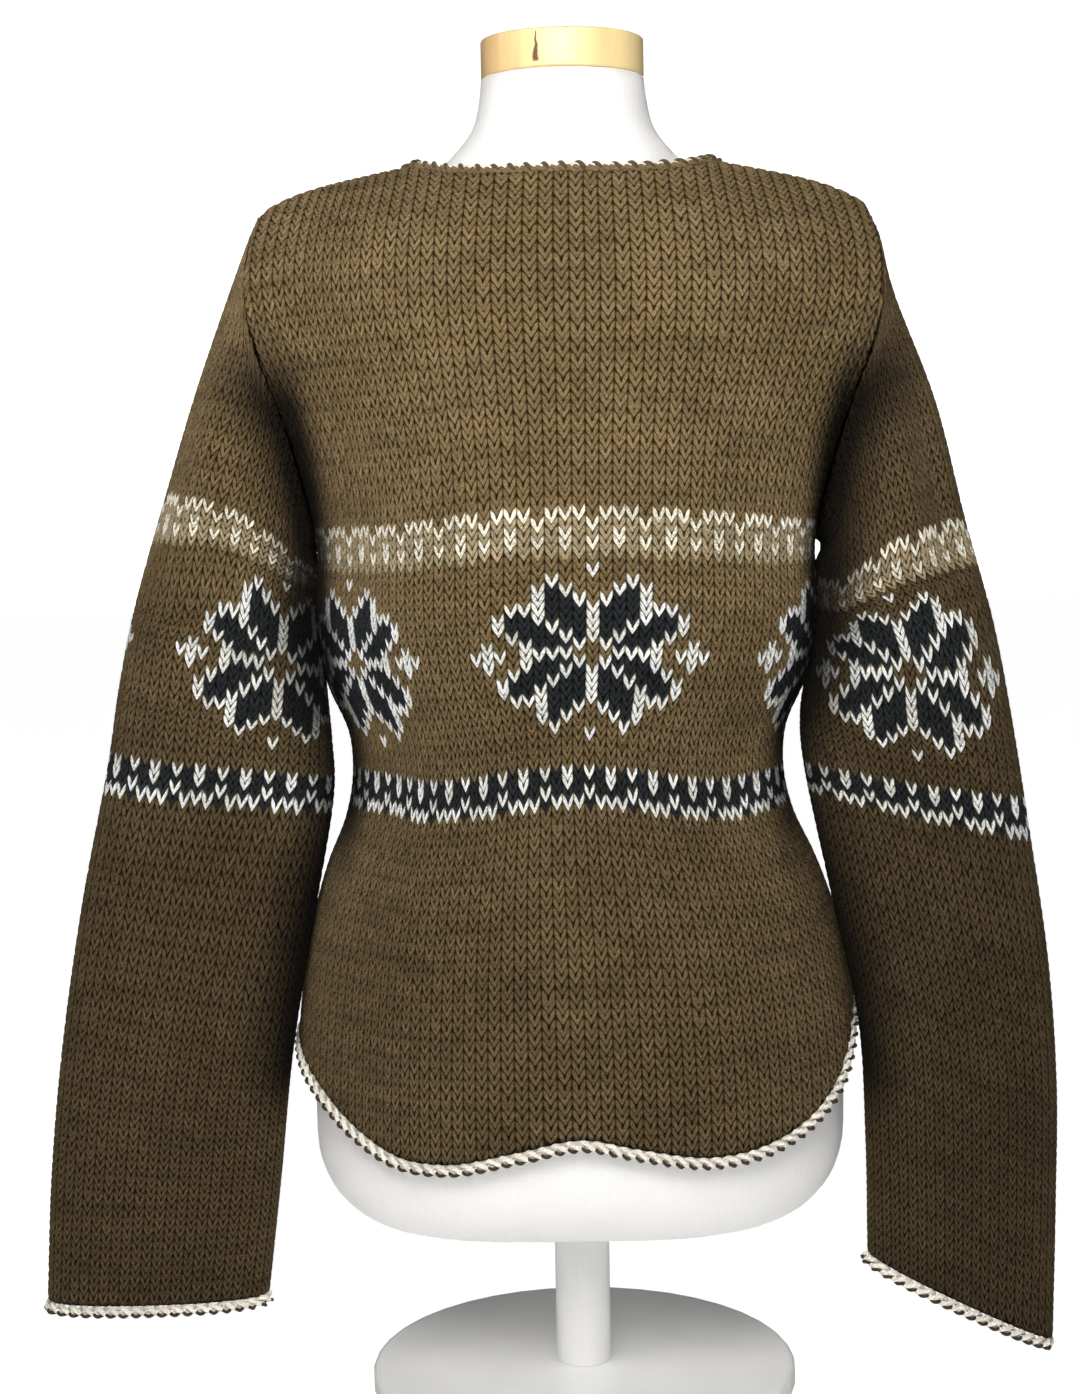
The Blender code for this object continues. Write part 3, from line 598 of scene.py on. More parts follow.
@dataclass
class SleeveCloth:
    """One knitted sleeve from the armhole to the cuff, and how its stitches lie."""

    side: int
    rings: tuple[SleeveRing, ...]
    folds: tuple[Fold, ...]
    places: tuple[RowPlace, ...]
    shape: BodyShape
    dip_turn: float = 0.40
    dip_width: float = 0.075
    stitches: int = 48
    row_pitch: float = ROW_PITCH
    corners: int = 22
    fine: int = 8
    samples: int = 260
    rounds: int = 193
    known_rows: int = 120
    lap_rise: float = 0.0022
    lap_start: float = 0.32
    lap_end: float = 0.60
    lap_turn_gap: float = 0.0016

    def armhole_rings(self) -> tuple[np.ndarray, np.ndarray]:
        """Outer and inner ring of the sleeve's top edge, as in its solid.

        Returns:
            The rings from the shoulder over the front and up the back. They meet the panels edge to
            edge over the shoulder, and are lapped onto them under the arm.
        """
        shape, half = self.shape, self.corners // 2
        heights = np.linspace(shape.end_height, shape.armpit_height, half + 1)
        ways = shape.armhole_way(heights)
        ways[0], ways[-1] = shape.end_way, 1
        found = [[shape.wall_points(facing, self.side * way, np.array([height]))
                  for way, height in zip(ways, heights)] for facing in (Facing.FRONT, Facing.BACK)]
        joined = found[0] + found[1][-2:0:-1]
        edge = np.array([wall[0][0] for wall in joined])
        normal = np.array([wall[2][0] for wall in joined])
        edge[[0, half], 1] = 0
        away = np.cross(np.roll(edge, -1, axis=0) - np.roll(edge, 1, axis=0), normal)
        away = unit(away * np.sign(away @ np.array((self.side, 0, 1)))[:, None])
        down = np.arange(self.corners) / half
        down = np.minimum(down, 2 - down)
        share = np.clip((down - self.lap_start) / (self.lap_end - self.lap_start), 0, 1)[:, None]
        lap = ease(share)
        gap = shape.seam_gap + self.lap_turn_gap * np.sin(math.pi * share)
        lifted = self.lap_rise * np.minimum(1, 6 * lap)
        outer = edge + away * (gap * (1 - lap) - shape.wall * lap) + normal * lifted
        inner = edge + away * gap + normal * (lifted - shape.wall * (1 - lap))
        return outer, inner

    def ring(self, row: SleeveRing, inset: float) -> np.ndarray:
        """Ring of points from a table row, made smaller all round by inset."""
        outer = np.array((self.side * row.outer_x, row.middle_y, row.outer_z))
        inner = np.array((self.side * row.inner_x, row.middle_y, row.inner_z))
        middle, reach = (outer + inner) / 2, (outer - inner) / 2
        turn = TURN * np.arange(self.corners) / self.corners
        power = 2 / self.shape.section_power
        across = np.sign(np.cos(turn)) * np.abs(np.cos(turn)) ** power
        forward = np.sign(np.sin(turn)) * np.abs(np.sin(turn)) ** power
        depth = np.array((0, inset - row.half_depth, 0))
        keep = 1 - inset / np.linalg.norm(reach)
        return middle + across[:, None] * reach * keep + forward[:, None] * depth

    def push(self, share: float) -> np.ndarray:
        """How far the folds push each corner of a ring outwards, at a share of the length."""
        turn = np.arange(self.corners) / self.corners
        push = np.zeros(self.corners)
        for fold in self.folds:
            if fold.start < share < fold.end:
                fade = math.sin(math.pi * (share - fold.start) / (fold.end - fold.start)) ** 2
                push += fold.height * fade * np.exp(-((turn - fold.turn) / fold.turn_width) ** 2)
        return push[:, None]

    def lofted(self, start: np.ndarray, inset: float, shares: np.ndarray) -> np.ndarray:
        """Rings of one face of the sleeve at shares of its length, rounded between their corners."""
        rings = np.array([start] + [self.ring(row, inset) for row in self.rings])
        rings = smooth_curve(np.linspace(0, 1, len(rings)), rings, shares)
        for ring, share in zip(rings, shares):
            ring += unit((ring - ring.mean(axis=0)) * (1, 1, 0)) * self.push(share)
        wrapped = np.concatenate((rings[:, -3:], rings, rings[:, :4]), axis=1).transpose(1, 0, 2)
        places = np.arange(self.corners * self.fine + 1) / self.fine
        return smooth_curve(np.arange(-3, self.corners + 4), wrapped, places).transpose(1, 0, 2)

    def row_table(self, name: str, rows: np.ndarray) -> np.ndarray:
        """One named column of the row places, read at row coordinates."""
        return read_table(self.places, "row", name, rows)

    def grid(self) -> ClothGrid:
        """Dense lines of the sleeve.

        Returns:
            The sleeve's outer and inner face with the row coordinate of every sample, from the cuff up.
        """
        shares = np.linspace(0, 1, self.samples)
        start_outer, start_inner = self.armhole_rings()
        outer = self.lofted(start_outer, 0, shares)
        inner = self.lofted(start_inner, self.shape.wall, shares)
        steps = np.linalg.norm(np.diff(outer, axis=1), axis=2)
        arcs = np.concatenate((np.zeros((len(shares), 1)), np.cumsum(steps, axis=1)), axis=1)
        arcs /= arcs[:, -1:]
        rounds = np.linspace(0, 1, self.rounds)
        even = np.array([[np.interp(rounds, arc, ring[:, axis]) for axis in range(3)]
                         for arc, ring in zip(arcs, outer)]).transpose(0, 2, 1)
        down = np.cumsum(np.linalg.norm(np.diff(even, axis=0), axis=2), axis=0)
        down = np.concatenate((np.zeros((1, self.rounds)), down))
        known = np.linspace(self.places[0].row, self.places[-1].row, self.known_rows)
        share_of, tilt, dip = (self.row_table(name, known) for name in ("share", "tilt", "dip"))
        rows = np.empty_like(down)
        for index, turn in enumerate(rounds):
            valley = np.exp(-((turn - self.dip_turn) / self.dip_width) ** 2)
            places = share_of + tilt * math.cos(TURN * turn) + dip * valley
            places[0] = 1
            top = places[-1]
            rows[:, index] = np.interp(shares, places[::-1], known[::-1])
            above = shares < top
            start = np.interp(top, shares, down[:, index])
            rows[above, index] = known[-1] + (start - down[above, index]) / self.row_pitch
        columns = np.arange(4 * self.stitches) / 4
        found = []
        for index in range(len(shares)):
            turn = columns / self.stitches
            for _ in range(3):
                shift = self.row_table("shift", np.interp(turn, rounds, rows[index]))
                turn = ((columns + shift) / self.stitches) % 1
            if index == 0:
                turn = ((columns + self.places[-1].shift) / self.stitches) % 1
            found.append((
                [np.interp(turn, arcs[index], outer[index, :, axis]) for axis in range(3)],
                [np.interp(turn, arcs[index], inner[index, :, axis]) for axis in range(3)],
                np.interp(turn, rounds, rows[index]),
            ))
        outer_points = np.array([part[0] for part in found]).transpose(2, 0, 1)[:, ::-1]
        inner_points = np.array([part[1] for part in found]).transpose(2, 0, 1)[:, ::-1]
        row_at = np.maximum.accumulate(np.array([part[2] for part in found]).T[:, ::-1], axis=1)
        across = np.roll(outer_points, -1, axis=0) - np.roll(outer_points, 1, axis=0)
        normal = unit(np.cross(across, np.gradient(outer_points, axis=1)))
        middle = outer_points.mean(axis=0, keepdims=True)
        normal *= np.sign(np.sum(normal * (outer_points - middle)))
        return ClothGrid(outer_points, inner_points, normal, row_at, columns, closed=True)


@dataclass
class KnitMesh:
    """Stockinette stitches as a relief on a cloth grid, with a plain inner face."""

    name: str
    grid: ClothGrid
    palette: dict[Yarn, tuple[float, float, float]]
    chart: Chart
    axis_column: int
    beside: np.ndarray
    direction: int = 1
    lower_shift: int = 0
    relief: float = 0.0019
    leg_rise: float = 1.05
    mean_depth: float = 0.55
    edge_depth: float = 0.45
    inner_depth: float = 0.75
    snap: float = 0.14
    jitter: float = 0.075
    stitch_tone: float = 0.050
    streak_tone: float = 0.050
    row_tone: float = 0.020
    # Painted shade of the brown yarn by row: darker towards the hem.
    painted_shades: tuple[tuple[float, float], ...] = ((-60, 0.66), (-16, 0.74), (10, 1.0), (40, 1.0))
    crowns: tuple[tuple[float, ...], ...] = (
        (0.05, 0.80, 0.95, 0.40),
        (0.12, 0.88, 1.00, 0.88),
        (0.00, 0.40, 0.55, 0.30),
    )
    # Painted shade in the crevices against other cloth: full within crevice_near, gone at crevice_far, faded
    # out above crevice_top and below crevice_low; crevice_dark is the lightness kept.
    crevice_near: float = 0.010
    crevice_far: float = 0.052
    crevice_top: float = 0.70
    crevice_fade: float = 0.06
    crevice_low: float = -1.0
    crevice_dark: float = 0.06
    seed: int = 1

    def profile(self, aside: np.ndarray, steps: np.ndarray) -> np.ndarray:
        """Height of the yarn at the lines and at quarter steps across the legs.

        Args:
            aside: Distance of each line from its stitch's middle, from 0 to 1 at the edge.
            steps: Row coordinates in quarters, before the legs rise.

        Returns:
            The height of each place, from 0 in the hollows to 1 on a leg's crown.
        """
        kind = np.rint(2 * aside).astype(int)
        quarter = np.rint(4 * (steps + 0.5)).astype(int) % 4
        return np.array(self.crowns)[kind[:, None], quarter[None]]

    def numbered(self, places: np.ndarray) -> tuple[np.ndarray, np.ndarray]:
        """Number the distinct places along each line.

        Args:
            places: Row coordinates as lines by places, equal where they are clamped to an edge.

        Returns:
            Which places start a new point, and the point number of every place.
        """
        fresh = np.ones(places.shape, dtype=bool)
        fresh[:, 1:] = np.diff(places, axis=1) > 1e-9
        return fresh, np.cumsum(fresh.ravel()).reshape(places.shape) - 1

    def quads(self, ids: np.ndarray) -> tuple[list, list]:
        """Faces between neighbouring lines of point numbers, with the line and place each starts at."""
        lines = len(ids) if self.grid.closed else len(ids) - 1
        faces, starts = [], []
        for i in range(lines):
            beside = ids[(i + 1) % len(ids)]
            here = ids[i]
            for j in range(len(here) - 1):
                a, b, c, d = here[j], beside[j], beside[j + 1], here[j + 1]
                if a == d and b == c:
                    continue
                if a == d:
                    faces.append((a, b, c))
                elif b == c:
                    faces.append((a, b, d))
                else:
                    faces.append((a, b, c, d))
                starts.append((i, j))
        return faces, starts

    def zip_up(self, one: list, one_at: list, two: list, two_at: list) -> list:
        """Triangles between two lines of points, each with its rising places.

        Args:
            one: Point numbers of the first line.
            one_at: Place of each of them.
            two: Point numbers of the second line.
            two_at: Place of each of them.

        Returns:
            The faces that close the strip.
        """
        faces, a, b = [], 0, 0
        while a < len(one) - 1 or b < len(two) - 1:
            step_one = b == len(two) - 1 or (a < len(one) - 1 and one_at[a + 1] <= two_at[b + 1])
            if step_one:
                faces.append((one[a], one[a + 1], two[b]))
                a += 1
            else:
                faces.append((one[a], two[b + 1], two[b]))
                b += 1
        return [face for face in faces if len(set(face)) == 3]

    def build(self) -> bpy.types.Object:
        """Make the knitted piece.

        Returns:
            A closed shell with a face attribute of the yarns' colours with painted shade baked in, the
            attribute depth and the UV map stitch, whose U counts columns and whose V counts rows.
        """
        grid, rng = self.grid, np.random.default_rng(self.seed)
        low, high = grid.rows[:, :1], grid.rows[:, -1:]
        first, last = math.floor(low.min()) - 2, math.ceil(high.max()) + 2
        steps = np.arange(4 * first, 4 * last + 1) / 4 - 0.5
        aside = np.abs(2 * (grid.columns % 1) - 1)
        uneven = self.unevenness(rng, len(grid.columns), len(steps))
        places = steps[None] + self.leg_rise * (aside[:, None] - 0.5) + self.jitter * uneven
        places = self.clamp(np.maximum.accumulate(places, axis=1), low, high)
        fresh, ids = self.numbered(places)
        points = read_lines(grid.outer, grid.rows, places)
        normals = unit(read_lines(grid.normal, grid.rows, places))
        depth = self.profile(aside, steps)
        edge = (places <= low) | (places >= high)
        if not grid.closed:
            edge[[0, -1]] = True
        depth[edge] *= self.edge_depth
        points = points + normals * (self.relief * (depth - self.mean_depth))[:, :, None]
        coarse = np.repeat(steps[None, ::8], len(grid.columns[::4]), axis=0)
        coarse = self.clamp(coarse, low[::4], high[::4])
        inner_fresh, inner_ids = self.numbered(coarse)
        inner = read_lines(grid.inner[::4], grid.rows[::4], coarse)
        inner_ids += fresh.sum()
        faces, starts = self.quads(ids)
        inner_faces, _ = self.quads(inner_ids)
        faces_all = faces + inner_faces + self.rims(ids, places, inner_ids, coarse)
        vertices = np.concatenate((points[fresh], inner[inner_fresh]))
        at_u = np.concatenate((np.repeat(grid.columns[:, None], len(steps), axis=1)[fresh],
                               np.repeat(grid.columns[::4, None], coarse.shape[1], axis=1)[inner_fresh]))
        at_v = np.concatenate((np.repeat(steps[None], len(grid.columns), axis=0)[fresh],
                               coarse[inner_fresh]))
        depth_all = np.concatenate((depth[fresh], np.full(inner_fresh.sum(), self.inner_depth)))
        starts = np.array(starts)
        columns = np.floor(grid.columns[starts[:, 0]] + 1e-6).astype(int)
        rows = np.floor(steps[starts[:, 1]] + 0.5 + 1e-6).astype(int)
        yarns = np.zeros(len(faces_all), dtype=int)
        yarns[:len(faces)] = self.chart.yarns(self.direction * (columns - self.axis_column), rows,
                                              self.lower_shift)
        tones = np.ones(len(faces_all))
        tones[:len(faces)] = self.tones(rng, columns, rows)
        return self.finish(vertices, faces_all, yarns, tones, np.stack((at_u, at_v), axis=1), depth_all)

    def unevenness(self, rng: np.random.Generator, lines: int, steps: int) -> np.ndarray:
        """Small errors of the hand in each stitch, the same over one stitch."""
        noise = rng.normal(size=(lines // 4 + 1, steps // 4 + 1)).clip(-2, 2)
        return np.repeat(np.repeat(noise, 4, axis=0), 4, axis=1)[:lines, :steps]

    def tones(self, rng: np.random.Generator, columns: np.ndarray, rows: np.ndarray) -> np.ndarray:
        """Lightness of each stitch's yarn, which changes slowly along the rows and from row to row."""
        low_row, low_column = rows.min(), columns.min()
        table = rng.normal(size=(columns.max() - low_column + 8, rows.max() - low_row + 1))
        slow = sum(np.roll(table, shift, axis=0) for shift in range(4)) / 2
        tone = 1 + self.stitch_tone * table + self.streak_tone * slow
        tone = tone + self.row_tone * rng.normal(size=(1, table.shape[1]))
        return tone.clip(0.75, 1.3)[columns - low_column, rows - low_row]

    def clamp(self, places: np.ndarray, low: np.ndarray, high: np.ndarray) -> np.ndarray:
        """Row coordinates kept between the cloth's two edges, without slivers beside them."""
        places = np.where(places < low + self.snap, low, places)
        return np.where(places > high - self.snap, high, places)

    def rims(self, ids: np.ndarray, places: np.ndarray, inner_ids: np.ndarray, coarse: np.ndarray) -> list:
        """Faces that join the outer face to the inner one along every edge of the cloth."""
        lines, faces = np.arange(len(ids)), []
        for end in (0, -1):
            one, one_at = list(ids[:, end]), list(lines)
            two, two_at = list(inner_ids[:, end]), list(lines[::4])
            if self.grid.closed:
                one, one_at = one + one[:1], one_at + [len(ids)]
                two, two_at = two + two[:1], two_at + [len(ids)]
            faces += self.zip_up(one, one_at, two, two_at)
        if not self.grid.closed:
            for end in (0, -1):
                one, first = np.unique(ids[end], return_index=True)
                two, second = np.unique(inner_ids[end], return_index=True)
                faces += self.zip_up(list(one), list(places[end][first]),
                                     list(two), list(coarse[end][second]))
        return faces

    def painted_shade_of(self, stitch: np.ndarray, faces: list) -> np.ndarray:
        """Painted shade of the brown yarn of each face, read from its row: darker where less light falls on
        the piece.
        """
        rows = stitch[[face[0] for face in faces], 1]
        return np.interp(rows, *zip(*self.painted_shades))

    def painted_crevice_shade(self, places: np.ndarray) -> np.ndarray:
        """Painted shade: the share of its lightness that the wool keeps where it lies against other cloth,
        darkest in the crevices between sleeves and body.

        Args:
            places: Points of the knitted piece.

        Returns:
            A share for each point: 1 away from the other cloth, above crevice_top and below crevice_low.
        """
        tree = KDTree(len(self.beside))
        for index, point in enumerate(self.beside):
            tree.insert(point, index)
        tree.balance()
        away = np.array([tree.find(point)[2] for point in places])
        near = 1 - np.clip((away - self.crevice_near) / (self.crevice_far - self.crevice_near), 0, 1)
        below = np.clip((self.crevice_top - places[:, 2]) / self.crevice_fade, 0, 1)
        below = below * np.clip((places[:, 2] - self.crevice_low) / self.crevice_fade, 0, 1)
        return 1 - (1 - self.crevice_dark) * ease(near) * ease(below)

    def finish(self, vertices: np.ndarray, faces: list, yarns: np.ndarray, tones: np.ndarray,
               stitch: np.ndarray, depth: np.ndarray) -> bpy.types.Object:
        """Make the mesh and write its attributes and UV map."""
        mesh = bpy.data.meshes.new(self.name)
        mesh.from_pydata(vertices.tolist(), [], [tuple(int(v) for v in face) for face in faces])
        shell = bmesh.new()
        shell.from_mesh(mesh)
        bmesh.ops.recalc_face_normals(shell, faces=shell.faces)
        shell.to_mesh(mesh)
        shell.free()
        mesh.shade_smooth()
        colours = np.array([self.palette[Yarn(number)] for number in range(len(Yarn))])
        rgba = np.ones((len(faces), 4))
        # Painted shade baked into the yarn colour: the brown yarn darker or lighter by row, and every yarn
        # darker in the crevices against other cloth.
        shade = np.where(yarns == Yarn.BROWN.value, self.painted_shade_of(stitch, faces), 1)
        shade = shade * self.painted_crevice_shade(vertices[[face[0] for face in faces]])
        rgba[:, :3] = colours[yarns] * (tones * shade)[:, None]
        attribute = mesh.attributes.new("yarn_colour_and_shade", "FLOAT_COLOR", "FACE")
        attribute.data.foreach_set("color", rgba.ravel())
        mesh.attributes.new("depth", "FLOAT", "POINT").data.foreach_set("value", depth)
        corner = np.empty(len(mesh.loops), dtype=int)
        mesh.loops.foreach_get("vertex_index", corner)
        uv = stitch[corner]
        first = np.empty(len(mesh.polygons), dtype=int)
        count = np.empty(len(mesh.polygons), dtype=int)
        mesh.polygons.foreach_get("loop_start", first)
        mesh.polygons.foreach_get("loop_total", count)
        owner = np.repeat(np.arange(len(first)), count)
        highest = np.zeros(len(first))
        np.maximum.at(highest, owner, uv[:, 0])
        span = self.grid.columns[-1] + 0.25 - self.grid.columns[0]
        uv[uv[:, 0] < highest[owner] - span / 2, 0] += span
        mesh.uv_layers.new(name="stitch").data.foreach_set("uv", uv.ravel())
        return new_piece(self.name, mesh)


class Graph:
    """Node graph of one material, built up node by node."""

    def __init__(self, name: str) -> None:
        """Start a material with a single Principled shader."""
        self.material = bpy.data.materials.new(name)
        self.material.use_nodes = True
        self.tree = self.material.node_tree
        self.shader = self.tree.nodes["Principled BSDF"]

    def node(self, kind: str, inputs: dict | None = None, **settings: object) -> bpy.types.Node:
        """Add a node.

        Args:
            kind: The node's type, without its prefix.
            inputs: What each input is linked to or set to.
            settings: Properties of the node.

        Returns:
            The new node.
        """
        made = self.tree.nodes.new(f"ShaderNode{kind}")
        for key, value in settings.items():
            setattr(made, key, value)
        for key, value in (inputs or {}).items():
            self.feed(made.inputs[key], value)
        return made

    def feed(self, target: bpy.types.NodeSocket, value: object) -> None:
        """Link a socket to another one, or set its value."""
        if isinstance(value, bpy.types.NodeSocket):
            self.tree.links.new(value, target)
        else:
            target.default_value = value

    def math(self, operation: str, *values: object) -> bpy.types.NodeSocket:
        """Result of a math node on sockets or numbers."""
        made = self.node("Math", dict(enumerate(values)), operation=operation)
        return made.outputs[0]

    def ramp(self, value: object, low: float, high: float, start: float,
             end: float) -> bpy.types.NodeSocket:
        """Smooth step of a value, from start at low to end at high."""
        made = self.node("MapRange", {"Value": value, "From Min": low, "From Max": high,
                                      "To Min": start, "To Max": end}, interpolation_type="SMOOTHSTEP")
        return made.outputs["Result"]

    def noise(self, place: bpy.types.NodeSocket, scale: float, detail: float = 2.0,
              stretch: tuple[float, float, float] = (1, 1, 1)) -> bpy.types.NodeSocket:
        """Noise on coordinates that are stretched first."""
        mapped = self.node("Mapping", {"Vector": place, "Scale": stretch})
        made = self.node("TexNoise", {"Vector": mapped.outputs[0], "Scale": scale, "Detail": detail})
        return made.outputs["Fac"]

    def scaled_colour(self, colour: object, factor: object) -> bpy.types.NodeSocket:
        """A colour made lighter or darker by a factor."""
        made = self.node("VectorMath", {0: colour, 1: factor}, operation="MULTIPLY")
        return made.outputs[0]

    def place(self) -> bpy.types.NodeSocket:
        """Object coordinates."""
        return self.node("TexCoord").outputs["Object"]

    def surface(self, name: str) -> bpy.types.NodeSocket:
        """Coordinates of a named UV map."""
        return self.node("UVMap", uv_map=name).outputs["UV"]

    def bump(self, height: bpy.types.NodeSocket, distance: float, strength: float = 1.0) -> None:
        """Set the shader's bump."""
        made = self.node("Bump", {"Height": height, "Distance": distance, "Strength": strength})
        self.feed(self.shader.inputs["Normal"], made.outputs["Normal"])

    def set(self, **values: object) -> None:
        """Set the shader's own sockets, named with underscores for spaces."""
        for key, value in values.items():
            self.feed(self.shader.inputs[key.replace("_", " ").title()], value)


@dataclass(frozen=True)
class KnitFinish:
    """Plied wool in stockinette: heathered colour, painted shade in the hollows, between the columns and in
    each stitch's middle hole, and spun fibres.
    """

    name: str = "knit"
    heather: float = 0.30
    # Painted shade: how dark the hollows, the grooves between columns and the middle holes are painted.
    hollow_shade: float = 0.09
    hollow_from: float = 0.02
    hollow_to: float = 0.70
    column_shade: float = 0.34
    hole: float = 0.16
    ply_turns: float = 2.0
    warming: tuple[float, float, float] = (1.0, 1.08, 1.36)
    roughness: float = 0.95
    specular: float = 0.05
    sheen: float = 0.02

    def make(self) -> bpy.types.Material:
        """Build the material."""
        graph = Graph(self.name)
        place, stitch = graph.place(), graph.surface("stitch")
        parts = graph.node("SeparateXYZ", {"Vector": stitch})
        inside = graph.math("FRACT", parts.outputs["X"])
        aside = graph.math("ABSOLUTE", graph.math("MULTIPLY_ADD", inside, 2.0, -1.0))
        along = graph.math("MULTIPLY", parts.outputs["Y"], 3.0)
        phase = graph.math("MULTIPLY_ADD", aside, self.ply_turns, along)
        ply = graph.math("SINE", graph.math("MULTIPLY", phase, TURN))
        fibre = graph.noise(stitch, 5.0, 3.0, (1.0, 7.0, 1.0))
        speck = graph.noise(place, 900.0, 3.0)
        patch = graph.noise(place, 16.0, 2.0)
        tone = graph.math("ADD", graph.ramp(speck, 0.30, 0.70, 1 - self.heather, 1 + self.heather),
                          graph.ramp(patch, 0.30, 0.70, -0.10, 0.10))
        tone = graph.math("MULTIPLY", tone, graph.ramp(fibre, 0.25, 0.75, 0.80, 1.22))
        tone = graph.math("MULTIPLY_ADD", ply, 0.05, tone)
        # Painted shade: the yarn darkens into its hollows by the relief's depth, into the grooves between
        # columns and into each stitch's middle hole.
        depth = graph.node("Attribute", attribute_name="depth", attribute_type="GEOMETRY").outputs["Fac"]
        shade = graph.ramp(depth, self.hollow_from, self.hollow_to, self.hollow_shade, 1.0)
        tone = graph.math("MULTIPLY", tone, shade)
        tone = graph.math("MULTIPLY", tone, graph.ramp(aside, 0.78, 1.0, 1.0, self.column_shade))
        climb = graph.math("FRACT", graph.math("ADD", parts.outputs["Y"], 0.5))
        hole = graph.math("MULTIPLY", graph.ramp(aside, 0.06, 0.34, 1.0, 0.0),
                          graph.ramp(climb, 0.56, 0.82, 0.0, 1.0))
        tone = graph.math("MULTIPLY", tone, graph.math("MULTIPLY_ADD", hole, self.hole - 1, 1.0))
        # The face colour holds the yarns' colours with painted shade baked in.
        yarn = graph.node("Attribute", attribute_name="yarn_colour_and_shade", attribute_type="GEOMETRY")
        yarn = yarn.outputs["Color"]
        # The tone, painted shade included, is raised to a power for each channel, so the painted shade deepens
        # in colour as it darkens.
        tint = graph.node("CombineXYZ", {axis: graph.math("POWER", tone, power)
                                         for axis, power in zip("XYZ", self.warming)})
        graph.set(Base_color=graph.scaled_colour(yarn, tint.outputs[0]), Roughness=self.roughness,
                  Sheen_weight=self.sheen, Sheen_roughness=0.6)
        graph.shader.inputs["Specular IOR Level"].default_value = self.specular
        height = graph.math("MULTIPLY_ADD", ply, 0.35, fibre)
        graph.bump(graph.math("ADD", height, graph.math("MULTIPLY", speck, 0.6)), 0.0006)
        return graph.material


@dataclass(frozen=True)
class StrandFinish:
    """One strand of an edging: spun wool with fibres that wind round it."""

    name: str
    colour: tuple[float, float, float]
    contrast: float = 0.16
    winding: float = 3.0
    roughness: float = 0.92
    specular: float = 0.15

    def make(self) -> bpy.types.Material:
        """Build the material."""
        graph = Graph(self.name)
        place, strand = graph.place(), graph.surface("strand")
        parts = graph.node("SeparateXYZ", {"Vector": strand})
        along = graph.math("MULTIPLY", parts.outputs["X"], 0.5)
        phase = graph.math("MULTIPLY_ADD", parts.outputs["Y"], self.winding, along)
        wound = graph.math("SINE", graph.math("MULTIPLY", phase, TURN))
        speck = graph.noise(place, 1100.0, 3.0)
        patch = graph.noise(place, 60.0, 2.0)
        tone = graph.math("ADD", graph.ramp(speck, 0.3, 0.7, 1 - self.contrast, 1 + self.contrast),
                          graph.ramp(patch, 0.3, 0.7, -0.06, 0.06))
        tone = graph.math("MULTIPLY_ADD", wound, 0.05, tone)
        graph.set(Base_color=graph.scaled_colour(self.colour, tone), Roughness=self.roughness,
                  Sheen_weight=0.1, Sheen_roughness=0.6)
        graph.shader.inputs["Specular IOR Level"].default_value = self.specular
        graph.bump(graph.math("MULTIPLY_ADD", wound, 0.5, speck), 0.0005)
        return graph.material


@dataclass(frozen=True)
class JerseyFinish:
    """Fine cotton jersey, stretched over the dress form."""

    name: str = "form_jersey"
    colour: tuple[float, float, float] = (0.97, 0.96, 0.95)

    def make(self) -> bpy.types.Material:
        """Build the material."""
        graph = Graph(self.name)
        place = graph.place()
        rib = graph.node("TexWave", {"Vector": place, "Scale": 190.0, "Distortion": 0.6, "Detail": 1.0},
                         wave_type="BANDS", bands_direction="X")
        course = graph.node("TexWave", {"Vector": place, "Scale": 240.0, "Distortion": 0.6, "Detail": 1.0},
                            wave_type="BANDS", bands_direction="Z")
        weave = graph.math("ADD", rib.outputs["Fac"], course.outputs["Fac"])
        patch = graph.noise(place, 9.0, 3.0)
        tone = graph.math("ADD", graph.ramp(weave, 0.2, 1.8, 0.95, 1.02),
                          graph.ramp(patch, 0.3, 0.7, -0.02, 0.02))
        graph.set(Base_color=graph.scaled_colour(self.colour, tone), Roughness=0.85,
                  Sheen_weight=0.15, Sheen_roughness=0.5)
        graph.bump(weave, 0.0002, 0.6)
        return graph.material


